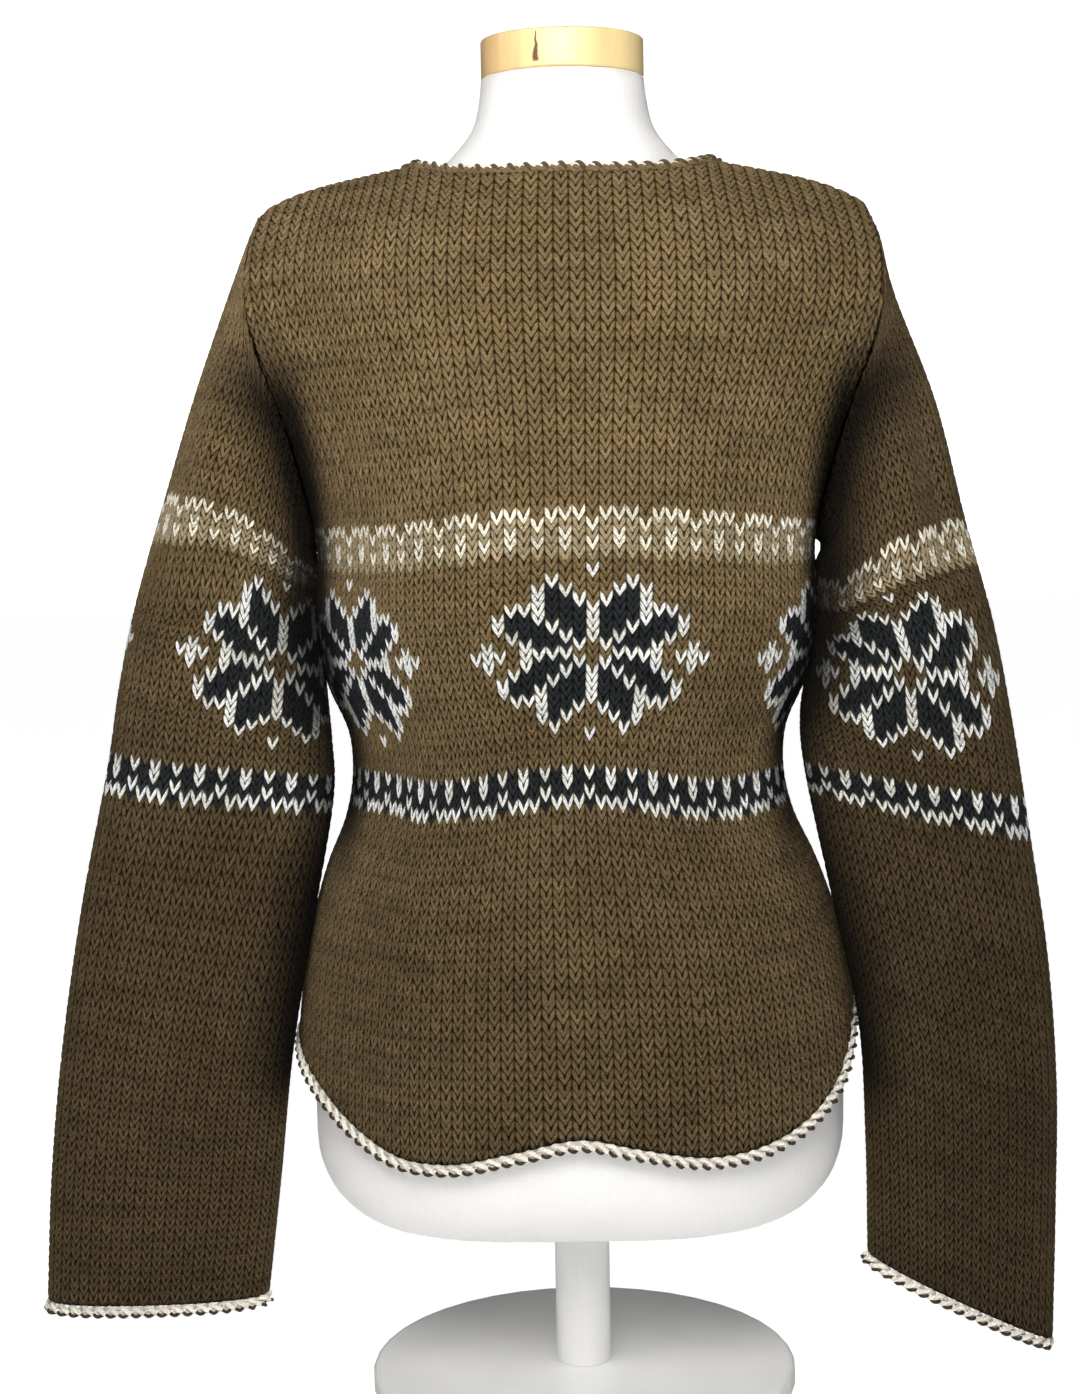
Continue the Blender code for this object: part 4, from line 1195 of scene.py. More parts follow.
@dataclass(frozen=True)
class PaleWoodFinish:
    """Lacquered pale wood with upright bands and one dark streak of heartwood at the front."""

    name: str = "cap_wood"
    light: tuple[float, float, float] = (0.95, 0.75, 0.37)
    dark: tuple[float, float, float] = (0.84, 0.54, 0.25)
    streak: tuple[float, float, float] = (0.16, 0.06, 0.015)
    streak_x: float = -0.0166
    streak_z: float = 0.8585
    streak_half_height: float = 0.009
    streak_foot: float = 0.0020
    streak_tip: float = 0.0004

    def make(self) -> bpy.types.Material:
        """Build the material."""
        graph = Graph(self.name)
        place = graph.place()
        band = graph.noise(place, 34.0, 3.0, (1.0, 1.0, 0.10))
        grain = graph.noise(place, 420.0, 2.0, (1.0, 1.0, 0.06))
        share = graph.math("MULTIPLY_ADD", grain, 0.35, graph.ramp(band, 0.36, 0.66, 0.0, 0.8))
        wood = graph.node("MixRGB", {"Fac": share, "Color1": (*self.light, 1), "Color2": (*self.dark, 1)})
        parts = graph.node("SeparateXYZ", {"Vector": place})
        wave = graph.math("MULTIPLY", graph.noise(place, 120.0, 2.0, (0.3, 0.3, 1.0)), 0.004)
        off = graph.math("ADD", graph.math("SUBTRACT", parts.outputs["X"], self.streak_x), wave)
        wide = graph.math("ABSOLUTE", graph.math("SUBTRACT", off, 0.002))
        tall = graph.math("ABSOLUTE", graph.math("SUBTRACT", parts.outputs["Z"], self.streak_z))
        half = graph.ramp(parts.outputs["Z"], self.streak_z - self.streak_half_height,
                          self.streak_z + self.streak_half_height, self.streak_foot, self.streak_tip)
        mark = graph.math("MULTIPLY", graph.ramp(graph.math("DIVIDE", wide, half), 0.5, 1.2, 1.0, 0.0),
                          graph.ramp(tall, 0.0080, 0.0100, 1.0, 0.0))
        mark = graph.math("MULTIPLY", mark, graph.ramp(parts.outputs["Y"], -0.01, 0.0, 1.0, 0.0))
        marked = graph.node("MixRGB", {"Fac": mark, "Color1": wood.outputs[0], "Color2": (*self.streak, 1)})
        graph.set(Base_color=marked.outputs[0], Roughness=0.42, Coat_weight=0.35, Coat_roughness=0.25)
        graph.bump(grain, 0.0001, 0.5)
        return graph.material


@dataclass(frozen=True)
class PaintFinish:
    """White satin paint on metal, with a slight orange-peel surface."""

    name: str
    colour: tuple[float, float, float] = (0.95, 0.95, 0.94)

    def make(self) -> bpy.types.Material:
        """Build the material."""
        graph = Graph(self.name)
        place = graph.place()
        peel, scuff = graph.noise(place, 420.0, 2.0), graph.noise(place, 26.0, 4.0)
        graph.set(Base_color=graph.scaled_colour(self.colour, graph.ramp(scuff, 0.3, 0.75, 0.97, 1.0)),
                  Roughness=graph.ramp(scuff, 0.3, 0.7, 0.30, 0.42), Coat_weight=0.2)
        graph.bump(peel, 0.00008, 0.5)
        return graph.material


@dataclass
class StrandMesh:
    """Tubes of yarn along free paths, joined in one mesh."""

    name: str
    sides: int = 8
    tip: float = 0.35
    unit_length: float = 0.002
    points: list = field(default_factory=list)
    faces: list = field(default_factory=list)
    wraps: list = field(default_factory=list)
    slots: list = field(default_factory=list)

    def add(self, path: np.ndarray, radius: np.ndarray | float, material: int, closed: bool) -> None:
        """Add one tube.

        Args:
            path: Points along the middle of the strand.
            radius: Its radius, one for all or one for each point.
            material: Index of its material slot.
            closed: Whether the path runs back into its start; otherwise its ends are rounded off.
        """
        radius = np.broadcast_to(np.asarray(radius, dtype=float), (len(path),)).copy()
        tangent = tangents(path, closed)
        if not closed:
            radius[[0, -1]] *= self.tip
        beside = np.empty_like(path)
        beside[0] = unit(np.cross(tangent[0], (0.31, 0.22, 0.93)))
        for index in range(1, len(path)):
            beside[index] = beside[index - 1] - tangent[index] * (beside[index - 1] @ tangent[index])
            beside[index] /= np.linalg.norm(beside[index])
        above = np.cross(tangent, beside)
        twist = 0.0
        if closed:
            last = beside[-1] - tangent[0] * (beside[-1] @ tangent[0])
            twist = math.atan2(last @ above[0], last @ beside[0])
        turn = TURN * np.arange(self.sides) / self.sides
        angle = turn[None] - twist * np.arange(len(path))[:, None] / len(path)
        rings = path[:, None] + radius[:, None, None] * (np.cos(angle)[..., None] * beside[:, None]
                                                         + np.sin(angle)[..., None] * above[:, None])
        base, sides, count = sum(len(part) for part in self.points), self.sides, len(path)
        self.points.append(rings.reshape(-1, 3))
        length = running_length(path) / self.unit_length
        for i in range(count if closed else count - 1):
            for j in range(sides):
                here, after, beyond = base + i * sides, base + (i + 1) % count * sides, (j + 1) % sides
                self.faces.append((here + j, here + beyond, after + beyond, after + j))
                start = length[i]
                end = length[i + 1] if i + 1 < count else length[i] + (length[1] - length[0])
                low, high = j / sides, (j + 1) / sides
                self.wraps += [(start, low), (start, high), (end, high), (end, low)]
                self.slots.append(material)
        if not closed:
            for ring, way in ((0, -1), (count - 1, 1)):
                cap = [base + ring * sides + j for j in range(sides)]
                self.faces.append(tuple(cap[::way]))
                self.wraps += [(length[ring], 0.0)] * sides
                self.slots.append(material)

    def build(self, materials: list[bpy.types.Material]) -> bpy.types.Object:
        """Make the object, with the UV map strand along and round every tube."""
        mesh = bpy.data.meshes.new(self.name)
        mesh.from_pydata(np.concatenate(self.points).tolist(), [], self.faces)
        for material in materials:
            mesh.materials.append(material)
        mesh.polygons.foreach_set("material_index", np.array(self.slots, dtype=np.int32))
        wraps = np.array(self.wraps, dtype=np.float32).ravel()
        mesh.uv_layers.new(name="strand").data.foreach_set("uv", wraps)
        mesh.shade_smooth()
        return new_piece(self.name, mesh)


@dataclass
class EdgeLine:
    """Middle line of an edging that runs along an edge of the cloth, with its own directions."""

    centre: np.ndarray
    away: np.ndarray
    across: np.ndarray
    closed: bool

    @classmethod
    def along(cls, outer: np.ndarray, inner: np.ndarray, cloth: np.ndarray, closed: bool, radius: float,
              shape: BodyShape) -> "EdgeLine":
        """Line of an edging as its solid has it.

        Args:
            outer: The wall's outer edge line.
            inner: Its inner edge line.
            cloth: A line just inside the cloth.
            closed: Whether the edge is a ring.
            radius: Radius of the edging.
            shape: The body's shape, for the wall and the gap.

        Returns:
            The edging's middle line.
        """
        middle = (outer + inner) / 2
        tangent = tangents(middle, closed)
        across = outer - inner
        across = unit(across - tangent * np.sum(across * tangent, axis=1, keepdims=True))
        away = np.cross(tangent, across)
        away *= np.sign(np.sum(away * (middle - cloth), axis=1, keepdims=True))
        centre = middle + away * (radius + shape.seam_gap) + across * (radius - shape.wall / 2)
        return cls(centre, away, across, closed)

    def evenly(self, step: float) -> tuple[np.ndarray, "EdgeLine"]:
        """The line with evenly spaced points.

        Args:
            step: Greatest distance between the points.

        Returns:
            How far along each point is, and the line.
        """
        parts = [self.centre, self.away, self.across]
        if self.closed:
            parts = [np.concatenate((part, part[:1])) for part in parts]
        length = running_length(parts[0])
        count = int(math.ceil(length[-1] / step))
        at = np.linspace(0, length[-1], count + 1)
        if self.closed:
            at = at[:-1]
        read = [smooth_curve(length, part, at) for part in parts]
        return at, EdgeLine(read[0], unit(read[1]), unit(read[2]), self.closed)

    def total(self) -> float:
        """Length of the line."""
        ends = np.concatenate((self.centre, self.centre[:1])) if self.closed else self.centre
        return float(np.linalg.norm(np.diff(ends, axis=0), axis=1).sum())


@dataclass
class TwistedEdging:
    """Edging of two thick cream plies twisted together, with a thin dark strand under them."""

    ply_radius: float = 0.0017
    orbit: float = 0.0020
    inset: float = 0.0009
    pitch: float = 0.0166
    dark_radius: float = 0.0011
    dark_pitch: float = 0.0083
    dark_out: float = 0.0012
    dark_swing: float = 0.0022
    dark_away: float = 0.0014
    dark_sway: float = 0.0009
    step: float = 0.0011
    hand: int = -1

    def build(self, name: str, line: EdgeLine, materials: list[bpy.types.Material]) -> bpy.types.Object:
        """Make one edging.

        Args:
            name: Name of the piece.
            line: Middle line that it follows.
            materials: Cream and dark material.

        Returns:
            The piece.
        """
        at, even = line.evenly(self.step)
        total = line.total()
        turns = max(1, round(total / self.pitch)) if line.closed else total / self.pitch
        mesh = StrandMesh(name)
        for ply in range(2):
            angle = self.hand * (TURN * at / total * turns + ply * math.pi)
            path = even.centre + self.orbit * (np.cos(angle)[:, None] * even.away
                                               + np.sin(angle)[:, None] * even.across) - self.inset * even.away
            uneven = 1 + 0.05 * np.sin(TURN * at / total * turns * 2 + ply)
            mesh.add(path, self.ply_radius * uneven, 0, line.closed)
        waves = max(1, round(total / self.dark_pitch))
        wave = TURN * at / total * waves
        out = self.dark_out + self.dark_swing * np.cos(wave)
        down = self.dark_away + self.dark_sway * np.sin(wave)
        path = even.centre + out[:, None] * even.across + down[:, None] * even.away
        mesh.add(path, self.dark_radius, 1, line.closed)
        return mesh.build(materials)


@dataclass
class NeckEdging:
    """Neck edge: bound-off brown yarn and a thin cream cord at the front, which dark loops bind down."""

    bound_radius: float = 0.0015
    bound_orbit: float = 0.0012
    cream_radius: float = 0.0008
    cream_orbit: float = 0.0006
    rope_radius: float = 0.0017
    rope_orbit: float = 0.0015
    rope_pitch: float = 0.0090
    loop_radius: float = 0.0015
    loop_reach: float = 0.0023
    loop_pitch: float = 0.0107
    loop_slant: float = -0.0080
    front_fade: float = 0.012
    back_limit: float = 0.004
    cream_shift: tuple[float, float] = (-0.0002, 0.0012)
    bound_shift: tuple[float, float] = (-0.0022, 0.0001)
    loop_shift: tuple[float, float] = (-0.0011, 0.0002)
    step: float = 0.0010

    def front_share(self, even: EdgeLine) -> np.ndarray:
        """1 along the front of the neck, 0 round the back, with a soft change at the shoulders."""
        share = np.clip(0.5 - even.centre[:, 1] / self.front_fade, 0, 1)
        return ease(share)

    def trim(self, name: str, line: EdgeLine, materials: list[bpy.types.Material]) -> bpy.types.Object:
        """Make the cords of the neck edge.

        Args:
            name: Name of the piece.
            line: Middle line that they follow.
            materials: Cream and brown material.

        Returns:
            The piece: a cream rope round the back that thins to a cord at the front, and the front's
            bound-off edge.
        """
        at, even = line.evenly(self.step)
        wound = TURN * at / line.total() * round(line.total() / self.rope_pitch)
        front = self.front_share(even)
        mesh = StrandMesh(name)
        orbit = self.rope_orbit + (self.cream_orbit - self.rope_orbit) * front
        thick = self.rope_radius + (self.cream_radius - self.rope_radius) * front
        for ply in (0, math.pi):
            away = orbit * np.cos(wound + ply) + self.cream_shift[0] * front
            across = orbit * np.sin(wound + ply) + self.cream_shift[1] * front
            path = even.centre + away[:, None] * even.away + across[:, None] * even.across
            mesh.add(path, thick, 0, True)
        first = np.flatnonzero(front > 0.5)
        for ply in (0, math.pi):
            away = self.bound_orbit * np.cos(wound + ply) + self.bound_shift[0]
            across = self.bound_orbit * np.sin(wound + ply) + self.bound_shift[1]
            path = even.centre + away[:, None] * even.away + across[:, None] * even.across
            mesh.add(path[first[0]:first[-1] + 1], self.bound_radius, 1, False)
        return mesh.build(materials)

    def loops(self, name: str, line: EdgeLine, materials: list[bpy.types.Material],
              seed: int) -> bpy.types.Object:
        """Make the dark loops along the front of the neck.

        Args:
            name: Name of the piece.
            line: Middle line that they bind.
            materials: The loops' material.
            seed: Seed of their unevenness.

        Returns:
            The piece.
        """
        rng = np.random.default_rng(seed)
        at, even = line.evenly(self.step)
        places = np.arange(0, line.total(), line.total() / round(line.total() / self.loop_pitch))
        mesh = StrandMesh(name, sides=10)
        turn = np.linspace(math.radians(160), math.radians(-100), 15)
        for place in places:
            if self.read(at, even.centre, place)[1] > self.back_limit:
                continue
            here = place + rng.normal() * 0.0006
            shift = np.linspace(-0.5, 0.5, len(turn)) * self.loop_slant * (1 + 0.12 * rng.normal())
            centre, away, across = (np.array([self.read(at, values, here + s) for s in shift])
                                    for values in (even.centre, even.away, even.across))
            reach = self.loop_reach * (1 + 0.08 * rng.normal())
            path = (centre + (reach * np.cos(turn) + self.loop_shift[0])[:, None] * away
                    + (reach * np.sin(turn) + self.loop_shift[1])[:, None] * across)
            thick = self.loop_radius * (1 - 0.3 * np.abs(np.linspace(-1, 1, len(turn))) ** 3)
            mesh.add(path, thick, 0, False)
        return mesh.build(materials)

    def read(self, at: np.ndarray, values: np.ndarray, place: float) -> np.ndarray:
        """Read a closed line's values at a distance along it."""
        step = at[1] - at[0]
        index = int(place // step) % len(at)
        share = place / step - place // step
        return values[index] * (1 - share) + values[(index + 1) % len(at)] * share


@dataclass
class DressForm:
    """Limbless form under the sweater, with its wooden neck cap and its stand."""

    cap_radius: float = 0.0515
    cap_bottom: float = 0.8460
    cap_top: float = 0.8698
    cap_round: float = 0.0016
    cap_sides: int = 96

    def skin(self, node: str) -> bpy.types.Object:
        """Jersey over the trunk and neck: the solid's form, merged, made quads and rounded.

        Args:
            node: Node of the frame that has the solid.

        Returns:
            The piece, whose top rim keeps its full width under the cap.
        """
        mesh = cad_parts[node].data.copy()
        piece = new_piece("form_skin", mesh)
        self.only(piece)
        bpy.ops.object.mode_set(mode="EDIT")
        bpy.ops.mesh.select_all(action="SELECT")
        bpy.ops.mesh.remove_doubles(threshold=0.00002)
        limit = math.radians(60)
        bpy.ops.mesh.tris_convert_to_quads(face_threshold=limit, shape_threshold=limit)
        bpy.ops.object.mode_set(mode="OBJECT")
        top = max(vertex.co.z for vertex in mesh.vertices) - 0.0005
        crease = mesh.attributes.new("crease_edge", "FLOAT", "EDGE")
        for edge in mesh.edges:
            above = all(mesh.vertices[end].co.z > top for end in edge.vertices)
            crease.data[edge.index].value = float(above)
        rounding = piece.modifiers.new("rounding", "SUBSURF")
        rounding.levels = rounding.render_levels = 1
        bpy.ops.object.modifier_apply(modifier=rounding.name)
        piece.data.shade_smooth()
        return piece

    def cap(self) -> bpy.types.Object:
        """Turned wooden cap with rounded rims and level rings in its flat faces."""
        bpy.ops.object.select_all(action="DESELECT")
        bpy.ops.mesh.primitive_cylinder_add(vertices=self.cap_sides, radius=self.cap_radius,
                                            depth=self.cap_top - self.cap_bottom,
                                            location=(0, 0, (self.cap_top + self.cap_bottom) / 2))
        piece = bpy.context.active_object
        piece.name = "neck_cap"
        bpy.ops.object.transform_apply(location=True, rotation=True, scale=True)
        rims = piece.modifiers.new("rims", "BEVEL")
        rims.width, rims.segments = self.cap_round, 5
        rims.limit_method, rims.angle_limit = "ANGLE", math.radians(60)
        bpy.ops.object.modifier_apply(modifier=rims.name)
        bpy.ops.object.mode_set(mode="EDIT")
        shell = bmesh.from_edit_mesh(piece.data)
        for face in shell.faces:
            face.select_set(abs(face.normal.z) > 0.99 and len(face.verts) > 4)
        bmesh.update_edit_mesh(piece.data)
        bpy.ops.mesh.inset(thickness=0.004)
        bpy.ops.mesh.inset(thickness=0.012)
        bpy.ops.object.mode_set(mode="OBJECT")
        bpy.ops.object.shade_smooth_by_angle(angle=math.radians(40))
        return piece

    def only(self, piece: bpy.types.Object) -> None:
        """Select one object alone and make it active."""
        bpy.ops.object.select_all(action="DESELECT")
        piece.select_set(True)
        bpy.context.view_layer.objects.active = piece


@dataclass
class Studio:
    """Pale floor and backdrop, soft lights and the camera."""

    camera_at: tuple[float, float, float] = (-0.0213, -1.540, 0.600)
    camera_tilt: float = 5.43
    camera_roll: float = 1.05
    lens: float = 61.64
    key_energy: float = 15.0
    fill_energy: float = 2.5
    sky: float = 0.12
    bounce: float = 0.46
    bounce_height: float = -0.01
    floor_glow: float = 0.88
    room: float = 9.0

    def camera(self) -> None:
        """Place the camera at the photograph's viewing angle."""
        tilt, roll = math.radians(self.camera_tilt), math.radians(self.camera_roll)
        right, up = np.array((1, 0, 0)), np.array((0, math.sin(tilt), math.cos(tilt)))
        forward = np.array((0, math.cos(tilt), -math.sin(tilt)))
        across = right * math.cos(roll) - up * math.sin(roll)
        rise = right * math.sin(roll) + up * math.cos(roll)
        data = bpy.data.cameras.new("camera")
        data.lens, data.sensor_width, data.sensor_fit = self.lens, 36.0, "AUTO"
        data.clip_start, data.clip_end = 0.05, 60.0
        piece = new_piece("camera", data)
        turned = Matrix(np.column_stack((across, rise, -forward)).tolist())
        piece.matrix_world = Matrix.Translation(self.camera_at) @ turned.to_4x4()
        bpy.context.scene.camera = piece

    def lamp(self, name: str, place: tuple[float, float, float], aim: tuple[float, float, float],
             size: float, energy: float, colour: tuple[float, float, float]) -> None:
        """Add a soft area lamp.

        Args:
            name: Name of the lamp.
            place: Where it stands.
            aim: Point that it is aimed at.
            size: Width of its disk.
            energy: Its power in watts.
            colour: Colour of its light.
        """
        data = bpy.data.lights.new(name, "AREA")
        data.shape, data.size, data.energy, data.color = "DISK", size, energy, colour
        piece = new_piece(name, data)
        turned = (Vector(aim) - Vector(place)).to_track_quat("-Z", "Y").to_matrix().to_4x4()
        piece.matrix_world = Matrix.Translation(place) @ turned
        piece.visible_camera = False

    def plane(self, name: str, corners: list, glow: float) -> bpy.types.Object:
        """Add a pale sheet of the stage that shows but throws no light back.

        Args:
            name: Name of the sheet.
            corners: Its four corners.
            glow: Strength of its own light, as the camera sees it.

        Returns:
            The sheet.
        """
        mesh = bpy.data.meshes.new(name)
        mesh.from_pydata(corners, [], [(0, 1, 2, 3)])
        piece = new_piece(name, mesh)
        graph = Graph(name)
        graph.set(Base_color=(0.90, 0.90, 0.90, 1), Roughness=0.9, Emission_color=(1, 1, 1, 1),
                  Emission_strength=glow)
        piece.data.materials.append(graph.material)
        piece.visible_diffuse = piece.visible_glossy = piece.visible_shadow = False
        return piece

    def build(self) -> None:
        """Set up the whole studio."""
        self.camera()
        wide = self.room
        corners = [(-wide, -wide), (wide, -wide), (wide, wide), (-wide, wide)]
        self.plane("floor", [(*corner, 0) for corner in corners], self.floor_glow)
        bounce = self.plane("bounce", [(*corner, self.bounce_height) for corner in corners], self.bounce)
        bounce.visible_camera, bounce.visible_diffuse = False, True
        for index, (start, end) in enumerate(zip(corners, corners[1:] + corners[:1])):
            wall = [(*start, -1), (*end, -1), (*end, wide), (*start, wide)]
            self.plane(f"backdrop_{index}", wall, 1.0)
        self.plane("ceiling", [(*corner, wide) for corner in corners], 1.0)
        self.lamp("key", (-0.10, -1.05, 1.10), (0, 0, 0.62), 0.8, self.key_energy, (1.0, 0.985, 0.96))
        self.lamp("fill", (1.6, -2.4, 1.2), (0, 0, 0.45), 2.0, self.fill_energy, (0.96, 0.98, 1.0))
        self.lamp("rim", (0.3, 2.2, 2.2), (0, 0, 0.65), 1.6, self.fill_energy, (1.0, 1.0, 1.0))
        world = bpy.data.worlds.new("sky")
        world.use_nodes = True
        backdrop = world.node_tree.nodes["Background"]
        backdrop.inputs["Color"].default_value = (1, 1, 1, 1)
        backdrop.inputs["Strength"].default_value = self.sky
        bpy.context.scene.world = world
        bpy.context.scene.view_settings.view_transform = "Standard"


@dataclass
class Sweater:
    """The pullover: four knitted pieces, and the edgings of neck, hem and cuffs."""

    shape: BodyShape
    chart: Chart = Chart()
    cord_radius: float = 0.0036
    edge_steps: int = 160
    star_column: int = 1
    back_star_column: int = 8
    palette: dict[Yarn, tuple[float, float, float]] = field(default_factory=lambda: {
        Yarn.BROWN: (0.245, 0.172, 0.084),
        Yarn.TAUPE: (0.430, 0.345, 0.215),
        Yarn.CREAM: (0.940, 0.890, 0.760),
        Yarn.WHITE: (0.950, 0.960, 0.950),
        Yarn.CHARCOAL: (0.024, 0.028, 0.032),
    })
    # Painted shade and light on the brown yarn, by row: the sleeves darker than the body, the right sleeve
    # darkest, the left sleeve's top lighter.
    left_painted_shades: tuple[tuple[float, float], ...] = ((-70, 0.46), (-16, 0.50), (10, 0.84), (40, 1.20))
    right_painted_shades: tuple[tuple[float, float], ...] = ((-70, 0.37), (-16, 0.40), (10, 0.51), (40, 0.72))
    left_rings: tuple[SleeveRing, ...] = (
        SleeveRing(0.2125, 0.714, 0.1680, 0.553, -0.006, 0.060),
        SleeveRing(0.2350, 0.652, 0.1650, 0.537, -0.012, 0.056),
        SleeveRing(0.2540, 0.592, 0.1660, 0.514, -0.018, 0.052),
        SleeveRing(0.2760, 0.520, 0.1590, 0.472, -0.024, 0.045),
        SleeveRing(0.2880, 0.468, 0.1550, 0.430, -0.026, 0.038),
        SleeveRing(0.2970, 0.415, 0.1550, 0.392, -0.030, 0.032),
        SleeveRing(0.3150, 0.330, 0.1690, 0.316, -0.036, 0.025),
        SleeveRing(0.3300, 0.240, 0.1840, 0.232, -0.040, 0.023),
        SleeveRing(0.3410, 0.155, 0.1940, 0.152, -0.036, 0.022),
        SleeveRing(0.3480, 0.069, 0.2050, 0.071, -0.030, 0.021),
    )
    right_rings: tuple[SleeveRing, ...] = (
        SleeveRing(0.2060, 0.708, 0.1670, 0.553, -0.006, 0.060),
        SleeveRing(0.2310, 0.640, 0.1640, 0.537, -0.012, 0.056),
        SleeveRing(0.2490, 0.565, 0.1630, 0.516, -0.018, 0.052),
        SleeveRing(0.2660, 0.500, 0.1560, 0.482, -0.025, 0.044),
        SleeveRing(0.2770, 0.440, 0.1455, 0.445, -0.030, 0.037),
        SleeveRing(0.2860, 0.375, 0.1460, 0.410, -0.038, 0.031),
        SleeveRing(0.2960, 0.290, 0.1610, 0.330, -0.052, 0.026),
        SleeveRing(0.3010, 0.210, 0.1770, 0.250, -0.056, 0.024),
        SleeveRing(0.3020, 0.130, 0.1820, 0.170, -0.050, 0.023),
        SleeveRing(0.3020, 0.036, 0.1840, 0.094, -0.042, 0.022),
    )
    left_folds: tuple[Fold, ...] = (
        Fold(0.17, 0.05, 0.10, 0.42, 0.0060),
        Fold(0.33, 0.05, 0.20, 0.50, -0.0050),
        Fold(0.72, 0.06, 0.15, 0.55, 0.0060),
        Fold(0.50, 0.07, 0.04, 0.46, 0.0050),
        Fold(0.50, 0.07, -0.03, 0.17, 0.0060),
    )
    right_folds: tuple[Fold, ...] = (
        Fold(0.15, 0.045, 0.06, 0.45, -0.0080),
        Fold(0.25, 0.05, 0.08, 0.42, 0.0060),
        Fold(0.70, 0.06, 0.15, 0.55, -0.0060),
        Fold(0.50, 0.07, 0.04, 0.44, 0.0045),
        Fold(0.50, 0.08, 0.06, 0.56, 0.0060),
        Fold(0.50, 0.07, -0.03, 0.17, 0.0085),
    )
    left_places: tuple[RowPlace, ...] = (
        RowPlace(-71, 1.000, 0.000, 0.0, 15.5),
        RowPlace(-16, 0.607, 0.005, 0.0, 16.0),
        RowPlace(-13, 0.577, 0.009, 0.0, 16.1),
        RowPlace(-9, 0.521, 0.015, 0.0, 16.25),
        RowPlace(-5, 0.478, 0.015, 0.0, 16.5),
        RowPlace(0, 0.411, 0.022, 0.0, 16.8),
        RowPlace(5, 0.360, 0.035, 0.0, 17.35),
        RowPlace(9, 0.312, 0.045, 0.0, 17.8),
        RowPlace(12, 0.283, 0.050, 0.0, 17.9),
        RowPlace(15, 0.253, 0.055, 0.0, 17.9),
    )
    right_places: tuple[RowPlace, ...] = (
        RowPlace(-70, 1.000, 0.000, 0.000, 11.45),
        RowPlace(-16, 0.614, -0.003, 0.000, 11.45),
        RowPlace(-13, 0.591, -0.006, 0.000, 11.45),
        RowPlace(-9, 0.550, 0.003, 0.000, 11.5),
        RowPlace(-3.5, 0.490, 0.010, 0.000, 11.75),
        RowPlace(0, 0.443, 0.015, 0.000, 11.9),
        RowPlace(5, 0.376, 0.012, 0.010, 12.8),
        RowPlace(9, 0.338, 0.015, 0.018, 13.3),
        RowPlace(12, 0.311, 0.018, 0.022, 14.4),
        RowPlace(15, 0.275, 0.030, 0.028, 14.4),
    )

    def __post_init__(self) -> None:
        """Set out the cloths and the finishes."""
        self.body = BodyCloth(self.shape)
        self.sleeves = {
            "left": SleeveCloth(-1, self.left_rings, self.left_folds, self.left_places, self.shape),
            "right": SleeveCloth(1, self.right_rings, self.right_folds, self.right_places, self.shape),
        }
        self.grids = {"front": self.body.grid(Facing.FRONT), "back": self.body.grid(Facing.BACK),
                      "sleeve_left": self.sleeves["left"].grid(), "sleeve_right": self.sleeves["right"].grid()}
        self.knit = KnitFinish().make()
        self.cream = StrandFinish("cream_cord", (0.96, 0.91, 0.80)).make()
        self.dark = StrandFinish("dark_strand", (0.055, 0.038, 0.022)).make()
        self.loops = StrandFinish("neck_loops", (0.100, 0.062, 0.026)).make()
        self.bound = StrandFinish("bound_edge", (0.200, 0.140, 0.066), contrast=0.3).make()

    def build(self) -> None:
        """Make every piece of the sweater."""
        self.panel("front", Facing.FRONT, self.star_column, 1)
        self.panel("back", Facing.BACK, self.back_star_column, -1)
        self.sleeve("left", 1, 0)
        self.sleeve("right", -1, -1)
        self.neck()

    def points_of(self, part: str) -> np.ndarray:
        """Points of the outer faces of the body or of the sleeves."""
        names = ("front", "back") if part == "body" else ("sleeve_left", "sleeve_right")
        return np.concatenate([self.grids[name].outer[::2, ::3].reshape(-1, 3) for name in names])

    def panel(self, name: str, facing: Facing, axis_column: int, direction: int) -> None:
        """Knit one panel of the body and run the twisted edging along its hem.

        Args:
            name: Name of the panel in the frame's nodes.
            facing: Its side of the body.
            axis_column: Column of a star's axis.
            direction: 1 or -1, the way in which the chart is read.
        """
        grid = self.grids[name]
        # The panel's wool takes painted shade in the crevices beside the sleeves, faded out below the waist.
        piece = KnitMesh(f"knit_{name}", grid, self.palette, self.chart, axis_column,
                         self.points_of("sleeves"), direction, crevice_far=0.040, crevice_low=0.33,
                         seed=3 + facing.value).build()
        ways = np.linspace(-1, 1, self.edge_steps + 1)
        line = EdgeLine.along(*self.body.edge_points(facing, ways, at_top=False), False,
                              self.cord_radius, self.shape)
        hem = TwistedEdging().build(f"hem_trim_{name}", line, [self.cream, self.dark])
        settle(piece, self.knit, f"sweater_{name}")
        settle(hem, None, f"hem_edging_{name}")
        self.declare(grid)

    def sleeve(self, name: str, direction: int, lower_shift: int) -> None:
        """Knit one sleeve and run the twisted edging round its cuff.

        Args:
            name: left or right, as the viewer sees it.
            direction: 1 or -1, the way in which the chart is read.
            lower_shift: Columns by which its lower band is set off from the star.
        """
        cloth, grid = self.sleeves[name], self.grids[f"sleeve_{name}"]
        # The sleeve's brown wool takes painted shade and light by row, and painted shade in the crevices
        # beside the body.
        painted_shades = self.left_painted_shades if name == "left" else self.right_painted_shades
        piece = KnitMesh(f"knit_sleeve_{name}", grid, self.palette, self.chart, 0,
                         self.points_of("body"), direction, lower_shift, painted_shades=painted_shades,
                         seed=11 + direction).build()
        outer, inner = self.cuff_lines(cloth)
        line = EdgeLine.along(outer[-1], inner[-1], (outer[0] + inner[0]) / 2, True, self.cord_radius,
                              self.shape)
        cuff = TwistedEdging().build(f"cuff_trim_{name}", line, [self.cream, self.dark])
        settle(piece, self.knit, f"sleeve_{name}")
        settle(cuff, None, f"cuff_edging_{name}")
        self.declare(grid)

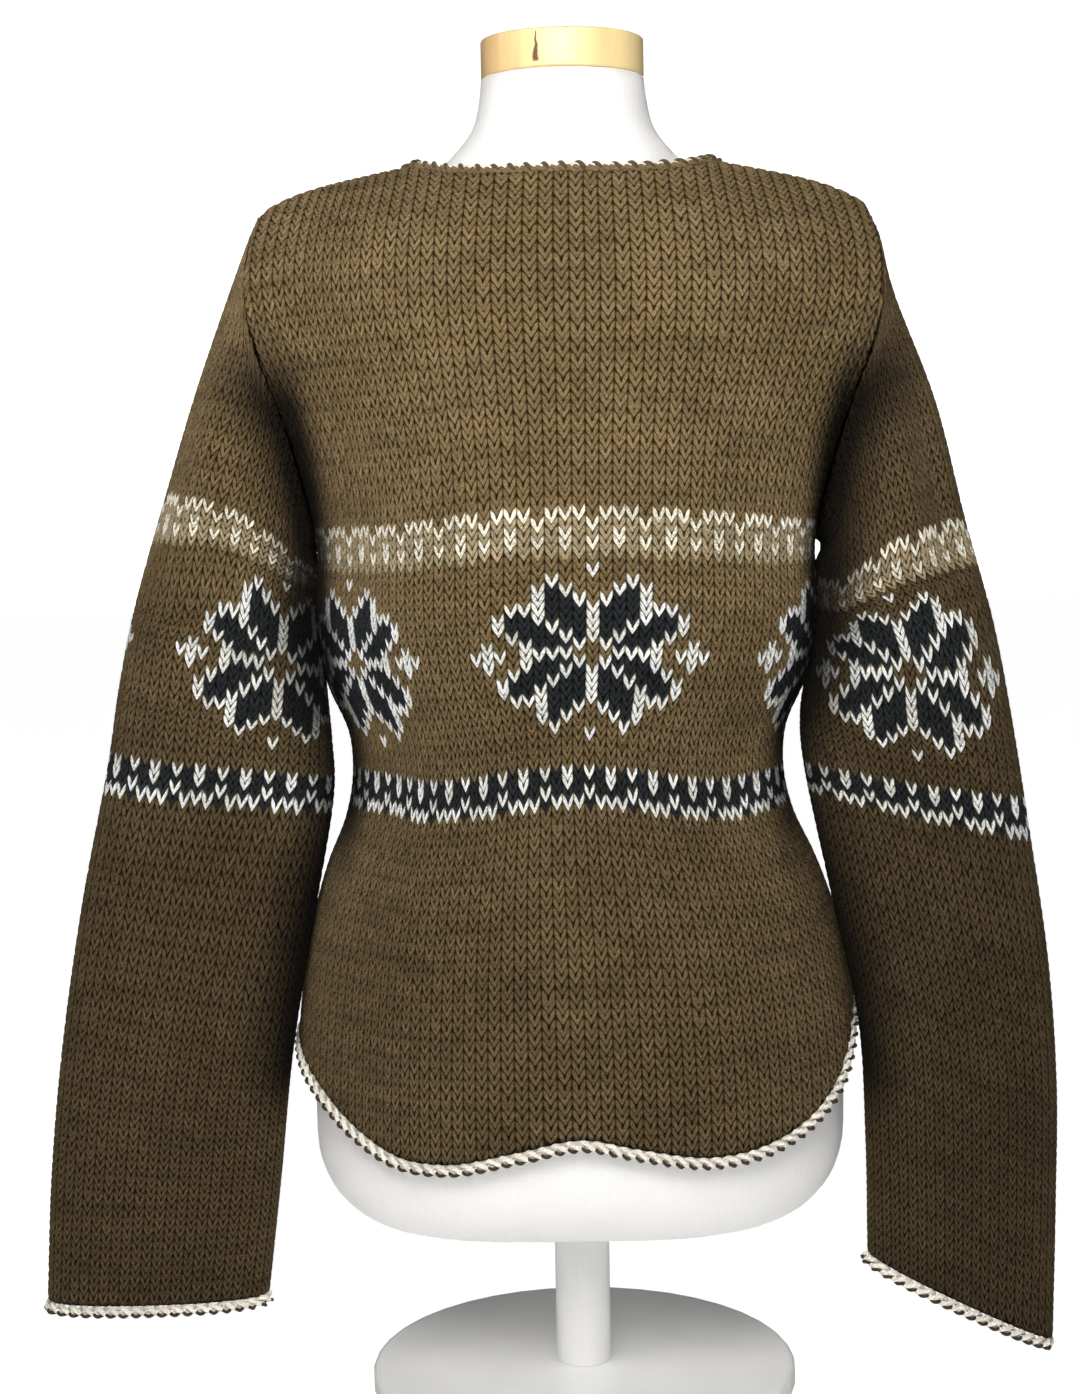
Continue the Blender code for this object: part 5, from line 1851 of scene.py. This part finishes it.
    def cuff_lines(self, cloth: SleeveCloth) -> tuple[np.ndarray, np.ndarray]:
        """Outer and inner rings of a sleeve just above its cuff and at the cuff."""
        shares = np.array((0.97, 1.0))
        start_outer, start_inner = cloth.armhole_rings()
        return (cloth.lofted(start_outer, 0, shares)[:, :-1],
                cloth.lofted(start_inner, self.shape.wall, shares)[:, :-1])

    def neck(self) -> None:
        """Finish the neck opening with its cream cord and its dark loops."""
        ways = self.shape.neck_way * np.sin(np.linspace(-math.pi / 2, math.pi / 2, 81))
        front = self.body.edge_points(Facing.FRONT, ways, at_top=True)
        back = self.body.edge_points(Facing.BACK, ways, at_top=True)
        ring = [np.concatenate((f, b[-2:0:-1])) for f, b in zip(front, back)]
        line = EdgeLine.along(*ring, True, self.cord_radius, self.shape)
        edging = NeckEdging()
        trim = edging.trim("neck_trim", line, [self.cream, self.bound])
        loops = edging.loops("neck_loops", line, [self.loops], seed=5)
        settle(trim, None, "neck_edging")
        settle(loops, None, "neck_edging")

    def declare(self, grid: ClothGrid) -> None:
        """Measure a knitted piece's middle face from line to line along each whole row; the lengths are not
        kept.

        Args:
            grid: Its cloth grid, which gives the size.
        """
        middle = (grid.outer + grid.inner) / 2
        if grid.closed:
            middle = np.concatenate((middle, middle[:1]))
        level = np.arange(math.ceil(grid.rows[:, 0].min()), math.floor(grid.rows[:, -1].max()) + 1)
        rows = np.concatenate((grid.rows, grid.rows[:1])) if grid.closed else grid.rows
        places = np.repeat(level[None], len(rows), axis=0)
        steps = np.linalg.norm(np.diff(read_lines(middle, rows, places), axis=0), axis=2)


def dress_form() -> None:
    """Make the form's skin and cap, and paint the stand that the frame carries."""
    form = DressForm()
    skin, cap = form.skin("form_torso"), form.cap()
    settle(skin, JerseyFinish().make(), "form_torso")
    settle(cap, PaleWoodFinish().make(), "form_neck_cap")
    for node in ("stand_post", "stand_foot"):
        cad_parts[node].material_slots[0].material = PaintFinish(f"{node}_paint").make()
        LOG.info("%s: painted", node)


def main() -> None:
    """Build the studio, the dress form and the sweater."""
    logging.basicConfig(level=logging.INFO, format="%(name)s: %(message)s")
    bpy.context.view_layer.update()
    Studio().build()
    dress_form()
    Sweater(BodyShape()).build()


if __name__ == "__main__":
    main()
